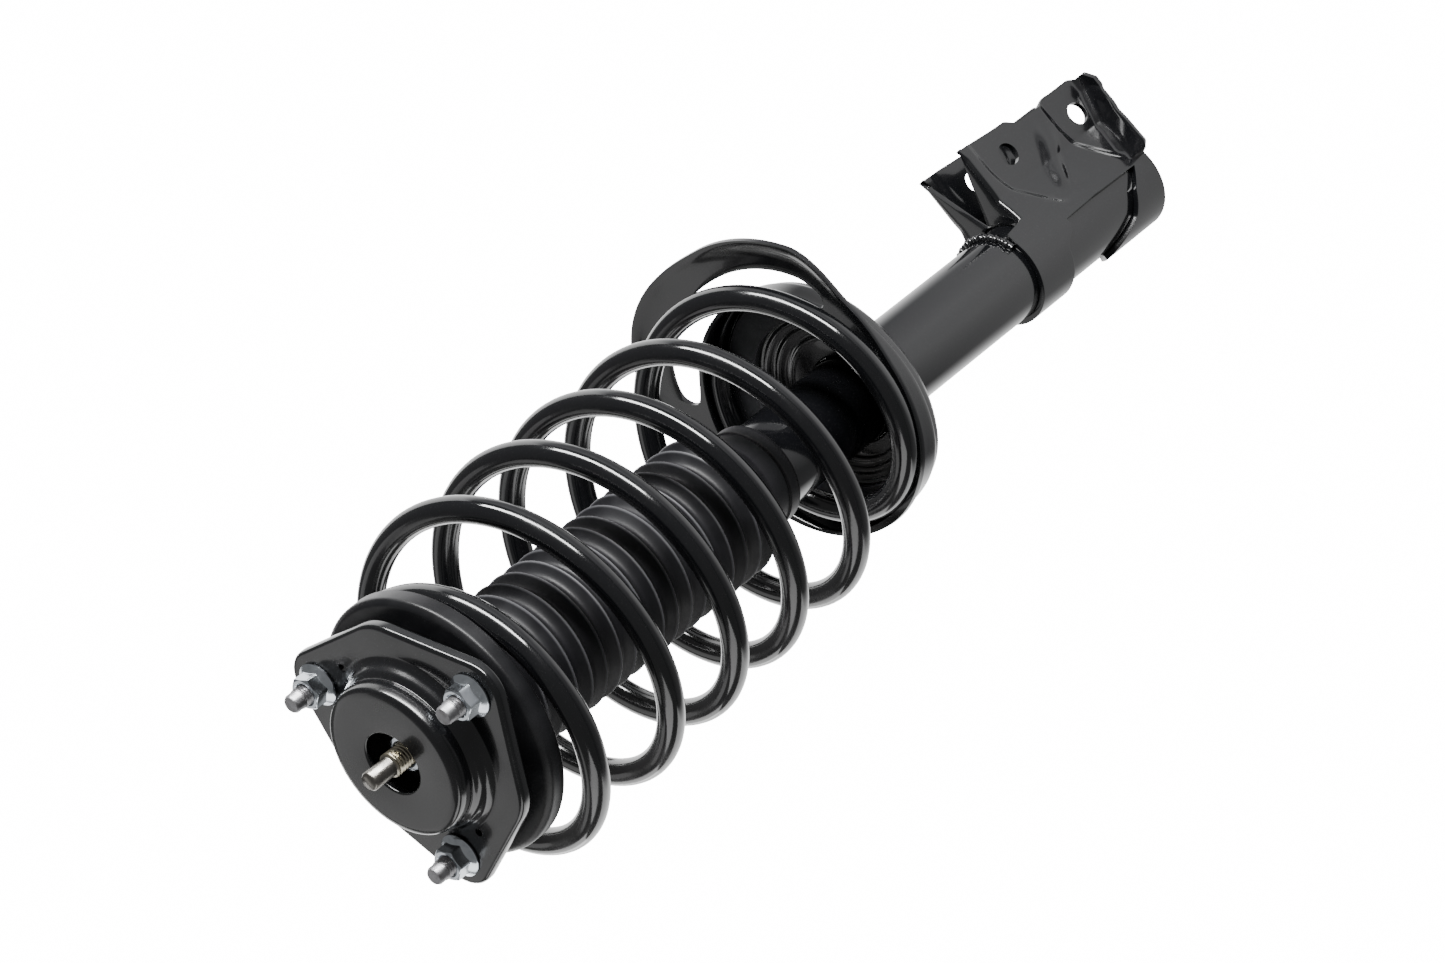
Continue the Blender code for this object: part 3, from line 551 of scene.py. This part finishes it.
rod_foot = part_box("piston_rod")[0][2] / MM
piston_rod = threaded(
    "threaded_piston_rod",
    [(0, rod_foot), (6.0, rod_foot), (6.5, rod_foot + 0.5), (6.5, ROD_STEM_TOP),
     (ROD_RADIUS - 0.4, ROD_STEM_TOP), (ROD_RADIUS, ROD_STEM_TOP + 0.5), (ROD_RADIUS, -40),
     (ROD_RADIUS, ROD_SHOULDER - 0.5), (ROD_RADIUS - 0.5, ROD_SHOULDER),
     (ROD_THREAD_RADIUS, ROD_SHOULDER)],
    [(4.9, 18.4), (4.7, 18.8), (4.7, 31.3), (3.9, 32.2), (0, 32.2)],
    ROD_THREAD_RADIUS, ROD_PITCH, ROD_SHOULDER + 0.5, 18.0, ROD_THREAD_DEPTH,
)
finish(piston_rod, rod_metal(), "rod_and_seat", "chrome", "piston_rod")
rod_nut = hex_nut("zinc_rod_nut", (0, 0), ROD_NUT_FLATS, -1.2, 8.3, ROD_THREAD_RADIUS + 0.1,
                  flange=0, start=0.3)
finish(rod_nut, zinc_plate, "rod_and_seat", "zinc_plate", "rod_nut")
dress(zinc_plate, "rod_washer", "piston_nut")


# Spring isolator
# A thick ring of dense black rubber that wraps round the upper seat's rim. A sleeve below it
# centres the spring's first turn.

def turned(name, path, columns=192, sharp=32):
    """A closed path of (radius, height) points turned about the strut's axis."""
    turn = np.linspace(0, 2 * math.pi, columns, endpoint=False)
    r, z = path[:, :1] + 0 * turn, path[:, 1:] + 0 * turn
    place = np.stack([r * np.cos(turn), r * np.sin(turn), z], axis=-1)
    return skin(name, place, wrap_rows=True, sharp=sharp)


isolator_path = soften([
    (63.4, -18.6), (63.4, -15.3), (50.8, -15.3), (46.8, -12.8), (46.8, -11.6), (63.8, -12.8),
    (66.4, -14.9), (66.4, -22.8), (48.6, -22.8), (47.2, -31.0), (44.0, -31.0), (44.0, -18.6),
], 1.2)
isolator_rubber = rubber("isolator_rubber", (0.006, 0.006, 0.007, 1), (0.018, 0.018, 0.020, 1),
                         0.28, 0.46, 0.5)
isolator = turned("rubber_spring_isolator", isolator_path)
finish(isolator, isolator_rubber, "rod_and_seat", "black_rubber", "upper_isolator")


# Coil spring
# Hot-wound 13 mm spring steel, right-handed, painted gloss black. Both ends are drawn inwards,
# so that they lie flat in the rubber seats.

WIRE_RADIUS = 6.5
COIL_RADIUS = 75.5
COIL_TAPER = 1.184
COIL_CENTRE = (1.94, 4.9)
COIL_LEAN = -0.029
COIL_START_ANGLE = -106.6
COIL_START_Z = -40.9
COIL_PITCH = 48.0
COIL_PITCH_GROWTH = 0.812
COIL_FIRST_TURN = -0.45
COIL_MIDDLE_TURN = 2.5
COIL_LAST_TURN = 5.6
COIL_TOP_Z = -29.6
COIL_BOTTOM_Z = -303.5
COIL_TOP_TUCK = 22.0
COIL_BOTTOM_TUCK = 20.0
COIL_RINGS = 640


def level_off(value, limit, width):
    """Follows value but settles on limit: limit + width * log(1 + exp((value - limit) / width))."""
    return limit + width * np.logaddexp(0, (value - limit) / width)


def wire_middle(turn):
    """Middle of the wire by turns, counted downwards.

    A helix whose radius tapers and whose axis leans. Its height levels off at both ends, where
    the radius is drawn in.
    """
    middle = turn - COIL_MIDDLE_TURN
    z = COIL_START_Z - COIL_PITCH * turn - COIL_PITCH_GROWTH * middle ** 3
    z = level_off(z, COIL_TOP_Z, -2.5)
    z = level_off(z, COIL_BOTTOM_Z, 12.0)
    radius = COIL_RADIUS - COIL_TAPER * middle
    radius = radius - COIL_TOP_TUCK * (1 - ease(turn, -0.28, 0.06))
    radius = radius - COIL_BOTTOM_TUCK * ease(turn, 4.9, 5.35)
    angle = np.radians(COIL_START_ANGLE - 360 * turn)
    x = COIL_CENTRE[0] + COIL_LEAN * (z - COIL_START_Z) + radius * np.cos(angle)
    return np.stack([x, COIL_CENTRE[1] + radius * np.sin(angle), z], axis=-1)


def rod_along(name, middle, radius, columns=28):
    """A round rod along a path: rings across the path's direction, each of its own radius."""
    along = np.gradient(middle, axis=0)
    along /= np.linalg.norm(along, axis=1)[:, None]
    up = np.array([0.0, 0.0, 1.0]) - along[:, 2:] * along
    up /= np.linalg.norm(up, axis=1)[:, None]
    across = np.cross(along, up)
    turn = np.linspace(0, 2 * math.pi, columns, endpoint=False)[None, :, None]
    rings = middle[:, None] + radius[:, None, None] * (
        np.cos(turn) * across[:, None] + np.sin(turn) * up[:, None])
    return skin(name, rings)


coil_turns = np.linspace(COIL_FIRST_TURN, COIL_LAST_TURN, COIL_RINGS)
coil_radius = np.full(COIL_RINGS, WIRE_RADIUS)
coil_radius[[1, -2]] = WIRE_RADIUS - 0.5
coil_radius[[0, -1]] = 0.0
coil_turns[[1, -2]] = coil_turns[[0, -1]] + [1e-5, -1e-5]
coil = rod_along("wound_coil_spring", wire_middle(coil_turns), coil_radius)
coil_paint = black_paint("coil_paint", 0.10, 0.24, 0.16, ripple=0.012)
finish(coil, coil_paint, "rod_and_seat", "black_paint", "coil_spring")
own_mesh(coil)


# Dust boot and bumper
# The boot is a thin blown rubber bellows that keeps grit off the rod: its smooth collar grips
# the tube's top. Inside it a ribbed foam bumper stops the tube at full compression.

BOOT_TOP = -16.6
BELLOWS_TOP = -22.0
BELLOWS_END = -219.0
BELLOWS_COUNT = 19
TROUGH_RADIUS = 31.8
CREST_RADIUS = 37.0
BOOT_END = -248.0
BOOT_WALL = 1.6
BUMPER_TOP = -17.0


def boot_radius(height):
    """Narrow crests and, below them, a taper to the smooth collar.

    The crests are 1.1 less the root of cosine squared plus 0.01.
    """
    share = (height - BELLOWS_TOP) / (BELLOWS_END - BELLOWS_TOP)
    wave = 1.1 - np.sqrt(np.cos(math.pi * BELLOWS_COUNT * share) ** 2 + 0.01)
    inside = ease(share, 0, 0.012) * (1 - ease(share, 0.988, 1))
    bellows = TROUGH_RADIUS + (CREST_RADIUS - TROUGH_RADIUS) * wave * inside
    taper = TROUGH_RADIUS - 6.2 * ease(height, BELLOWS_END, BELLOWS_END - 12)
    collar = 0.9 * ease(height, -240.5, -241) - 0.3 * ease(height, BOOT_END + 1.5, BOOT_END)
    return np.where(height > BELLOWS_END, bellows, taper + collar)


def bellows_rubber():
    """Boot rubber with a painted highlight: lighter along the crests, by a mask of distance from
    the axis.
    """
    material, tree, shader = new_material("boot_rubber")
    moulded = placed_group(tree, rubber_skin, Rough_Low=0.42, Rough_High=0.62, Bloom=0.5)
    place = tree.nodes.new("ShaderNodeTexCoord")
    flat = tree.nodes.new("ShaderNodeVectorMath")
    flat.operation = "MULTIPLY"
    flat.inputs[1].default_value = (1, 1, 0)
    tree.links.new(place.outputs["Object"], flat.inputs[0])
    away = tree.nodes.new("ShaderNodeVectorMath")
    away.operation = "LENGTH"
    tree.links.new(flat.outputs["Vector"], away.inputs[0])
    # Painted highlight: the crests are coloured lighter to stand in for the thin lines of light
    # that they catch.
    painted_crest_highlight = spread(tree, away.outputs["Value"],
                   (CREST_RADIUS - 0.9) * MM, (CREST_RADIUS - 0.1) * MM, 0, 1)
    base = mixed(tree, moulded["Bloom Mask"], (0.006, 0.006, 0.0075, 1), (0.018, 0.018, 0.021, 1))
    crest_highlighted = mixed(tree, painted_crest_highlight, base, (0.085, 0.085, 0.092, 1))
    tree.links.new(crest_highlighted, shader.inputs["Base Color"])
    tree.links.new(moulded["Roughness"], shader.inputs["Roughness"])
    tree.links.new(bumped(tree, moulded["Height"], 0.02), shader.inputs["Normal"])
    shader.inputs["Specular IOR Level"].default_value = 0.4
    return material


boot_heights = np.linspace(BOOT_TOP, BOOT_END, 620)
outer = np.stack([boot_radius(boot_heights), boot_heights], axis=-1)
inner = outer[::-1] - np.array([BOOT_WALL, 0])
boot = turned("bellows_boot", np.vstack([outer, inner]), columns=144, sharp=60)
finish(boot, bellows_rubber(), "rod_and_seat", "black_rubber", "dust_boot")
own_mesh(boot)

bumper_path = soften([
    (10.8, BUMPER_TOP), (24, BUMPER_TOP), (24, -34), (20.5, -39), (23, -44), (23, -52), (19, -57),
    (21, -62), (18, -76), (10.8, -76),
], 2.0)
foam = rubber("bumper_foam", (0.55, 0.48, 0.30, 1), (0.70, 0.64, 0.46, 1),
              0.8, 0.95, 0.8, grain=0.2)
bumper = turned("foam_bumper", bumper_path, columns=64)
finish(bumper, foam, "rod_and_seat", "foam", "bump_stop")
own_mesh(bumper)


# Damper tube and what runs in it
# Drawn steel tube, gloss black outside. The piston, its valves and the pressure tube inside it
# are turned and sintered steel with a plastic band.

TUBE_TOP = -229.0
TUBE_END = -560.5
TUBE_RADIUS = 23.0
TUBE_BORE = 21.0

tube_path = soften([(TUBE_RADIUS, TUBE_TOP), (TUBE_RADIUS, TUBE_END), (TUBE_BORE, TUBE_END),
                    (TUBE_BORE, TUBE_TOP)], 0.7)
tube_paint = black_paint("tube_paint", 0.08, 0.20, 0.18)
tube = turned("drawn_damper_tube", tube_path, columns=144)
finish(tube, tube_paint, "strut_body", "black_paint", "outer_tube")
sinter_steel = metal("sinter_steel", (0.36, 0.35, 0.34, 1), (0.25, 0.24, 0.23, 1),
                     0.35, 0.55, 0.5)
band_plastic = rubber("band_plastic", (0.06, 0.05, 0.045, 1), (0.10, 0.09, 0.08, 1),
                      0.35, 0.5, 0.4)
dress(sinter_steel, "piston", "inner_cylinder", "rod_guide", "base_valve")
dress(band_plastic, "piston_band", "rebound_stop")


# Lower spring pan
# Pressed 2.6 mm sheet welded round the tube: a dish for the spring's last turn, deeper towards
# the tube, and on one side a wide hoop with a long window between it and the dish.

PAN_THICK = 2.6
PAN_RIM_Z = -295.0
PAN_CENTRE = 12.0
PAN_RIM_RADIUS = 76.5
RIM_TUCK = 5.0
DISH_CENTRE = 4.0
HOOP_REACH = 14.5
HOOP_FAR_REACH = 12.2
HOOP_RISE = 2.2
WINDOW_SHARE = 0.265
WINDOW_HALF_SHARE = 0.215
WINDOW_START = math.radians(-58)
WINDOW_END = math.radians(58)


def dish_tuck(degrees):
    """How far the dish's wall is drawn in round the back, following the spring's last turn."""
    off = np.abs(degrees)
    near = ease(-degrees, 30, 80) + ease(degrees, 90, 130)
    return 2.6 * near + 4.4 * ease(off, 130, 180)


def make_pan():
    """Rings about three centres: the hub on the tube, the dish, and the rim with its hoop.

    Past the dish's lip a point is the mix of lip and edge by a share. The window is left open
    between the window's share less and plus its half width, a superellipse of the angle.
    """
    turn = np.linspace(math.pi, -math.pi, 420, endpoint=False)
    degrees = np.degrees(turn)
    direction = np.stack([np.cos(turn), np.sin(turn)], axis=-1)
    hub = soften([(23.4, -333), (23.4, -322.3), (33, -322.3), (34.2, -320.4), (38.4, -320.0),
                  (39.6, -317.8), (43.6, -317.4), (45.2, -315), (61.0, -315), (62.4, -312.4),
                  (63.9, -311.6), (64.8, -307.6), (65.9, -306.8), (66.1, -300.5), (66.4, -295.2),
                  (75, -295.2), (75, -400), (23.4, -400)], 1.6)
    hub = hub[2:-17]
    middle = DISH_CENTRE * ease(hub[:, 0], 27, 38)
    drawn = ease(hub[:, 0], 46, 61)
    rings = [np.column_stack([x + (r - pull * dish_tuck(degrees)) * direction[:, 0],
                              (r - pull * dish_tuck(degrees)) * direction[:, 1], z + 0 * turn])
             for x, pull, (r, z) in zip(middle, drawn, hub)]
    lip = rings[-1]
    hoop = ease(degrees, -74, -46) * (1 - ease(degrees, 56, 86))
    back = ease(-degrees, 68, 100) + ease(degrees, 86, 120)
    reach = PAN_RIM_RADIUS - RIM_TUCK * back
    reach = reach + hoop * (HOOP_REACH + HOOP_FAR_REACH * ease(degrees, -8, 44))
    edge = np.column_stack([PAN_CENTRE + reach * direction[:, 0], reach * direction[:, 1],
                            PAN_RIM_Z + 0 * turn])
    window_middle, window_half = (WINDOW_START + WINDOW_END) / 2, (WINDOW_END - WINDOW_START) / 2
    across = np.clip(np.abs(turn - window_middle) / window_half, 0, 1)
    half = WINDOW_HALF_SHARE * (1 - across ** 10) ** (1 / 3)
    inner_share, outer_share = WINDOW_SHARE - half, WINDOW_SHARE + half
    before = [inner_share * s for s in (0.25, 0.5, 0.75, 1.0)]
    after = [outer_share + (1 - outer_share) * s
             for s in (0, 0.2, 0.4, 0.6, 0.75, 0.85, 0.93, 1.0)]
    raised = HOOP_RISE * hoop
    for share in before + after:
        ring = lip + (edge - lip) * share[:, None]
        ring[:, 2] += raised * ease(share, 0.72, 1.0)
        rings.append(ring)
    points = np.array(rings)
    gap = np.zeros((len(rings) - 1, len(turn)), bool)
    gap[len(rings) - len(after) - 1] = True
    return skin("hooped_spring_pan", points, left_out=gap)


def thicken(piece, thick, edge):
    """Gives an open sheet its wall, behind its faces, and breaks the wall's edges."""
    wall = piece.modifiers.new("wall", "SOLIDIFY")
    wall.thickness = thick * MM
    wall.offset = -1.0
    wall.use_even_offset = False
    rounded = piece.modifiers.new("edge", "BEVEL")
    rounded.width = edge * MM
    rounded.segments = 2
    rounded.limit_method = "ANGLE"
    rounded.angle_limit = math.radians(60)
    return settled(piece)


pan = thicken(make_pan(), PAN_THICK, 0.6)
pan_paint = black_paint("pan_paint", 0.12, 0.30, 0.22)
finish(pan, pan_paint, "strut_body", "black_paint", "lower_spring_seat")



def make_pad():
    """A ring whose outer side is drawn in with the dish's wall."""
    foot, top = -314.7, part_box("lower_isolator")[1][2] / MM
    path = soften([(46, foot), (46, top), (62, top), (60.4, foot)], 0.8)
    turn = np.linspace(0, 2 * math.pi, 192, endpoint=False)
    pull = ease(path[:, :1], 46, 61) * dish_tuck((np.degrees(turn) + 180) % 360 - 180)
    r, z = path[:, :1] - pull, path[:, 1:] + 0 * turn
    place = np.stack([DISH_CENTRE + r * np.cos(turn), r * np.sin(turn), z], axis=-1)
    return skin("rubber_spring_pad", place, wrap_rows=True)


pad_rubber = rubber("pad_rubber", (0.045, 0.046, 0.05, 1), (0.10, 0.10, 0.11, 1), 0.5, 0.75, 0.5)
finish(make_pad(), pad_rubber, "strut_body", "grey_rubber", "lower_isolator")


# Knuckle bracket
# Pressed 2.9 mm sheet wrapped round the tube's end and welded to it. Two ears with bolt holes
# take the knuckle between them: a bead stiffens each, and their ends are folded over.

SHEET = 2.9
WRAP = 26.2
EAR_Y = 19.0
EAR_ROOT = 32.0
BRACKET_TOP = -451.0
EAR_TOP = -464.5
BOLT_HOLES = ((47.3, -492.2), (42.4, -548.6))
BOLT_RADIUS = 6.1
BEAD_START = np.array([49.0, -523.5])
BEAD_END = np.array([17.0, -504.0])
LAND_DEPTH = 1.8
LAND_BLEND = 3.5


def ear_free_edge(height):
    """X of the ears' free edge: wide round the bolt holes, with a shallow notch between them."""
    notch = 4.9 * ease(height, -502, -512) * (1 - ease(height, -528, -538))
    corner = 4.0 * ease(height, -556, -565)
    slant = 1.7 * ease(height, -465, -503) + 2.6 * ease(height, -528, -540)
    return 63.7 - slant - notch - corner


def ear_relief(x, height):
    """How far the ear stands out: a bead that grows towards the tube, less lands at the holes.

    The bead follows the line from its start to its end. A land ends in a step: the smooth
    larger of the height over its hole and of a slanted distance from it.
    """
    span = BEAD_END - BEAD_START
    x_off, z_off = x - BEAD_START[0], height - BEAD_START[1]
    along = (x_off * span[0] + z_off * span[1]) / (span @ span)
    away = np.abs(x_off * span[1] - z_off * span[0]) / np.linalg.norm(span)
    wide = 9.6 - 3.4 * np.clip(along, 0, 1)
    tall = 1.0 + 2.6 * np.clip(along, 0, 1)
    tall = tall * ease(along, -0.2, 0.3) * (1 - ease(along, 0.74, 1.12))
    bead = tall * np.clip(1 - (away / wide) ** 2, 0, 1) ** 2
    land = 0
    for (hole_x, hole_z), fade in zip(BOLT_HOLES, ((-32, -14), (-60, -50))):
        beside, over = x - hole_x, height - hole_z
        slanted = 0.75 * over - 0.66 * beside - 20.6
        past = LAND_BLEND * np.logaddexp((over - 18.4) / LAND_BLEND, slanted / LAND_BLEND)
        step = 1 - ease(past, -2.2, 3.0)
        land = land + step * ease(over, *fade)
    return bead - LAND_DEPTH * np.clip(land, 0, 1)


def make_bracket():
    """A sheet by two parameters. Columns run along the section from one ear round the tube to
    the other, rows from the folded top down the wall, past the window, to the folded foot.

    Along an ear X runs from the fold to the free edge of that height. The foot's flange leaves the
    wall outwards over a quarter turn, and the top web leaves it inwards.
    """
    ear = np.linspace(1, 0, 44)
    slope = np.linspace(0, 1, 24)[1:]
    back = np.radians(np.concatenate([
        np.linspace(-75, -80, 5)[1:], np.linspace(-80.5, -85, 10), np.linspace(-88, -180, 46)]))
    slope_x = EAR_ROOT + (WRAP * math.cos(math.radians(-75)) - EAR_ROOT) * slope
    slope_y = -EAR_Y + (WRAP * math.sin(math.radians(-75)) + EAR_Y) * slope
    base_x = np.concatenate([EAR_ROOT + 28 * ear, slope_x, WRAP * np.cos(back)])
    base_y = np.concatenate([-EAR_Y + 0 * ear, slope_y, WRAP * np.sin(back)])
    kink = np.exp(-((base_x - 31) / 4.0) ** 2) * (base_y < 0) * 0.55
    base_y = base_y + kink * (base_x > 10)
    along_ear = np.concatenate([ear, 0 * slope, 0 * back])
    on_ear = along_ear > 0
    degrees = np.degrees(np.arctan2(base_y, base_x))

    collar = 1 - ease(base_x, 15.2, 17.6)
    top = EAR_TOP + (BRACKET_TOP - EAR_TOP) * collar
    wrapped = 1 - ease(base_x, 5.2, 7.0)
    fold = -553.1 - 0.257 * (np.clip(base_x, 8, 52) - 13.5)
    foot = fold * (1 - wrapped) + TUBE_END * wrapped
    around = -degrees
    around[base_y > 0] = 180
    opened = ease(around, 80.6, 82.6)
    window_top = -478 - 9.5 * (1 - ease(around, 88, 112))
    window_foot = np.interp(around, [0, 82, 105, 133, 164, 180],
                            [-549, -549, -540, -535, -520, -517])
    split = -514.0
    upper_end = split + (window_top - split) * opened
    lower_start = split + (window_foot - split) * opened

    def wall(height):
        """Points of the wall at one height for each column, with the ears' relief."""
        ear_x = EAR_ROOT + (ear_free_edge(height) - EAR_ROOT) * along_ear
        x = np.where(on_ear, ear_x, base_x)
        relief = ear_relief(x, height) * ease(base_x, 8, 14)
        relief = relief * ease(height, fold, fold + 5)
        return np.column_stack([x, base_y - relief, height])

    rows = []
    inner_line = -EAR_Y + (60.5 - base_x) * 0.50
    on_tube = -np.sqrt(np.clip(23.6 ** 2 - np.clip(base_x, 0, 23.6) ** 2, 0, None))
    reach = np.where(base_x > 23.6, inner_line, np.minimum(inner_line, on_tube))
    web = np.clip(reach - base_y, 0, None) * ease(base_x, 17.0, 18.5)
    bend = np.minimum(3.0, web)
    for share in (1.0, 0.7, 0.4):
        top_row = wall(top)
        top_row[:, 1] = top_row[:, 1] + bend + (web - bend) * share
        rows.append(top_row)
    for turn in np.radians([75, 50, 25]):
        top_row = wall(top - bend * (1 - math.sin(turn)))
        top_row[:, 1] += bend * (1 - math.cos(turn))
        rows.append(top_row)
    shoulder = top - bend
    for share in np.linspace(0, 1, 46):
        rows.append(wall(shoulder + (upper_end - shoulder) * share))
    gap_row = len(rows) - 1
    flange = (1 - wrapped) * (9.2 + 3.0 * ease(base_x, 52, 30))
    flange = flange * (1 - 0.25 * ease(base_x, 12, 6))
    curl = np.minimum(4.0, flange)
    for share in np.linspace(0, 1, 46):
        rows.append(wall(lower_start + (foot + curl * 0.5 - lower_start) * share))
    heel = rows[-1]
    drop = 0.30 * np.clip(foot + 562.0, 0, 12) * (1 - wrapped)
    shrink = 1 - 0.10 * np.clip((base_x - EAR_ROOT) / 28, 0, 1)
    for turn in np.radians([30, 60, 90]):
        row = heel.copy()
        row[:, 1] -= curl * (1 - math.cos(turn))
        row[:, 2] -= curl * 0.5 * math.sin(turn) + 0.02 * drop
        rows.append(row)
    knee = rows[-1]
    for share in (0.25, 0.5, 0.75, 1.0):
        row = knee.copy()
        row[:, 0] = row[:, 0] * (1 - (1 - shrink) * share)
        row[:, 1] -= (flange - curl) * share
        row[:, 2] -= drop * share
        rows.append(row)
    half = np.array(rows)
    mirrored = half[:, ::-1][:, 1:] * np.array([1, -1, 1])
    points = np.concatenate([half, mirrored], axis=1)
    gap = np.zeros((len(rows) - 1, points.shape[1] - 1), bool)
    gap[gap_row] = True
    return skin("wrapped_knuckle_bracket", points, wrap_columns=False, left_out=gap)


bracket = thicken(make_bracket(), SHEET, 0.5)
for number, (x, z) in enumerate(BOLT_HOLES):
    drill(bracket, f"bolt_hole_{number}", (x, 0, z), BOLT_RADIUS, 40, axis="Y", own_folds=True)
settled(bracket)
bracket_paint = black_paint("bracket_paint", 0.10, 0.24, 0.20)
finish(bracket, bracket_paint, "strut_body", "black_paint", "knuckle_bracket")


# Bracket weld
# A run of gas-shielded weld along the collar's upper edge, painted over. Its ripples follow the
# torch's weave.

def make_weld():
    """A rod along an arc on the tube whose radius swells and shrinks with a sum of sines."""
    turn = np.radians(np.linspace(-70, 70, 260))
    ripple = 0.30 * np.sin(turn * 46) + 0.24 * np.sin(turn * 17 + 1.3)
    ripple = ripple + 0.16 * np.sin(turn * 71 + 0.4)
    bead = 2.2 + ripple
    bead[[0, -1]] = 0
    bead[[1, -2]] = 1.2
    middle = np.stack([(TUBE_RADIUS + 0.9) * np.cos(turn), (TUBE_RADIUS + 0.9) * np.sin(turn),
                       BRACKET_TOP + 1.9 + 0.4 * ripple], axis=-1)
    return rod_along("bracket_weld_bead", middle, bead, columns=16)


weld_paint = black_paint("weld_paint", 0.05, 0.14, 0.6, ripple=0.12)
finish(make_weld(), weld_paint, "strut_body", "black_paint", "bracket_weld")


# Studio
# A pale floor that the camera sees as white, a soft surround and large lamps. The camera looks
# down at the strut and is rolled, so that the strut lies slantwise in the picture.

FLOOR_Z = -0.64
FLOOR_HALF = 6.0
FLOOR_GLOW_SEEN = 16.0
CAMERA_PLACE = (0.00724, -1.73087, 1.15599)
CAMERA_LENS = 116.57
CAMERA_TILT = math.radians(38.6632)
CAMERA_ROLL = math.radians(-128.3765)

floor_mesh = bpy.data.meshes.new("studio_floor")
floor_corners = [(x * FLOOR_HALF, y * FLOOR_HALF, FLOOR_Z)
                 for x, y in ((-1, -1), (1, -1), (1, 1), (-1, 1))]
floor_mesh.from_pydata(floor_corners, [], [(0, 1, 2, 3)])
floor = bpy.data.objects.new("studio_floor", floor_mesh)
bpy.context.scene.collection.objects.link(floor)
floor_paint, floor_tree, floor_shader = new_material("floor_paint")
floor_shader.inputs["Base Color"].default_value = (0.14, 0.14, 0.145, 1)
floor_shader.inputs["Roughness"].default_value = 0.9
floor_place = floor_tree.nodes.new("ShaderNodeTexCoord")
floor_spot = floor_tree.nodes.new("ShaderNodeVectorMath")
floor_spot.operation = "DISTANCE"
floor_spot.inputs[1].default_value = (0.0, -0.30, FLOOR_Z)
floor_tree.links.new(floor_place.outputs["Object"], floor_spot.inputs[0])
floor_fall = spread(floor_tree, floor_spot.outputs["Value"], 0.12, 0.50, 0.0, 1.0)
floor_front = mixed(floor_tree, floor_fall, (1, 1, 1, 1), (0.08, 0.08, 0.08, 1))
floor_split = floor_tree.nodes.new("ShaderNodeSeparateXYZ")
floor_tree.links.new(floor_place.outputs["Object"], floor_split.inputs[0])
floor_behind = spread(floor_tree, floor_split.outputs["Y"], 0.04, 0.30, 0.0, 1.0)
floor_tree.links.new(mixed(floor_tree, floor_behind, floor_front, (2.6, 2.6, 2.6, 1)),
                     floor_shader.inputs["Emission Color"])
floor_shader.inputs["Emission Strength"].default_value = 0.80
floor_glow = floor_tree.nodes.new("ShaderNodeEmission")
floor_glow.inputs["Strength"].default_value = FLOOR_GLOW_SEEN
floor_seen = floor_tree.nodes.new("ShaderNodeLightPath")
floor_mix = floor_tree.nodes.new("ShaderNodeMixShader")
floor_tree.links.new(floor_seen.outputs["Is Camera Ray"], floor_mix.inputs[0])
floor_tree.links.new(floor_shader.outputs[0], floor_mix.inputs[1])
floor_tree.links.new(floor_glow.outputs[0], floor_mix.inputs[2])
floor_tree.links.new(floor_mix.outputs[0], floor_tree.nodes["Material Output"].inputs["Surface"])
floor_mesh.materials.append(floor_paint)

world = bpy.data.worlds.new("white_surround")
world.use_nodes = True
world.node_tree.nodes["Background"].inputs["Color"].default_value = (1, 1, 1, 1)
world.node_tree.nodes["Background"].inputs["Strength"].default_value = 0.16
bpy.context.scene.world = world


def look_along(direction):
    """Rotation that turns -Z along a direction."""
    back = -np.array(direction) / np.linalg.norm(direction)
    right = np.cross([0.0, 0.0, 1.0], back)
    right /= np.linalg.norm(right)
    up = np.cross(back, right)
    return Matrix(np.column_stack([right, up, back]).tolist()).to_4x4()


def soft_lamp(name, place, aim, size, power):
    """A rectangular lamp at a place, turned towards its aim."""
    light = bpy.data.lights.new(name, "AREA")
    light.shape = "RECTANGLE"
    light.size, light.size_y = size
    light.energy = power
    lamp = bpy.data.objects.new(name, light)
    toward = (np.array(aim) - np.array(place)).tolist()
    lamp.matrix_world = Matrix.Translation(place) @ look_along(toward)
    bpy.context.scene.collection.objects.link(lamp)


strut_middle = (0, 0, -0.25)
soft_lamp("key_strip", (1.47, -1.19, 0.20), strut_middle, (2.2, 0.42), 130)
soft_lamp("back_card", (0.0, 1.6, 1.1), strut_middle, (1.5, 0.9), 2.6)
soft_lamp("side_card", (-1.5, 0.7, 0.9), strut_middle, (1.6, 0.8), 8)
soft_lamp("back_fill", (-0.6, 2.0, -0.1), strut_middle, (1.6, 1.0), 9)

camera_data = bpy.data.cameras.new("camera")
camera_data.sensor_width = 36.0
camera_data.lens = CAMERA_LENS
camera = bpy.data.objects.new("camera", camera_data)
view_direction = (0.0, math.cos(CAMERA_TILT), -math.sin(CAMERA_TILT))
camera.matrix_world = (Matrix.Translation(CAMERA_PLACE) @ look_along(view_direction)
                       @ Matrix.Rotation(CAMERA_ROLL, 4, "Z"))
bpy.context.scene.collection.objects.link(camera)
bpy.context.scene.camera = camera
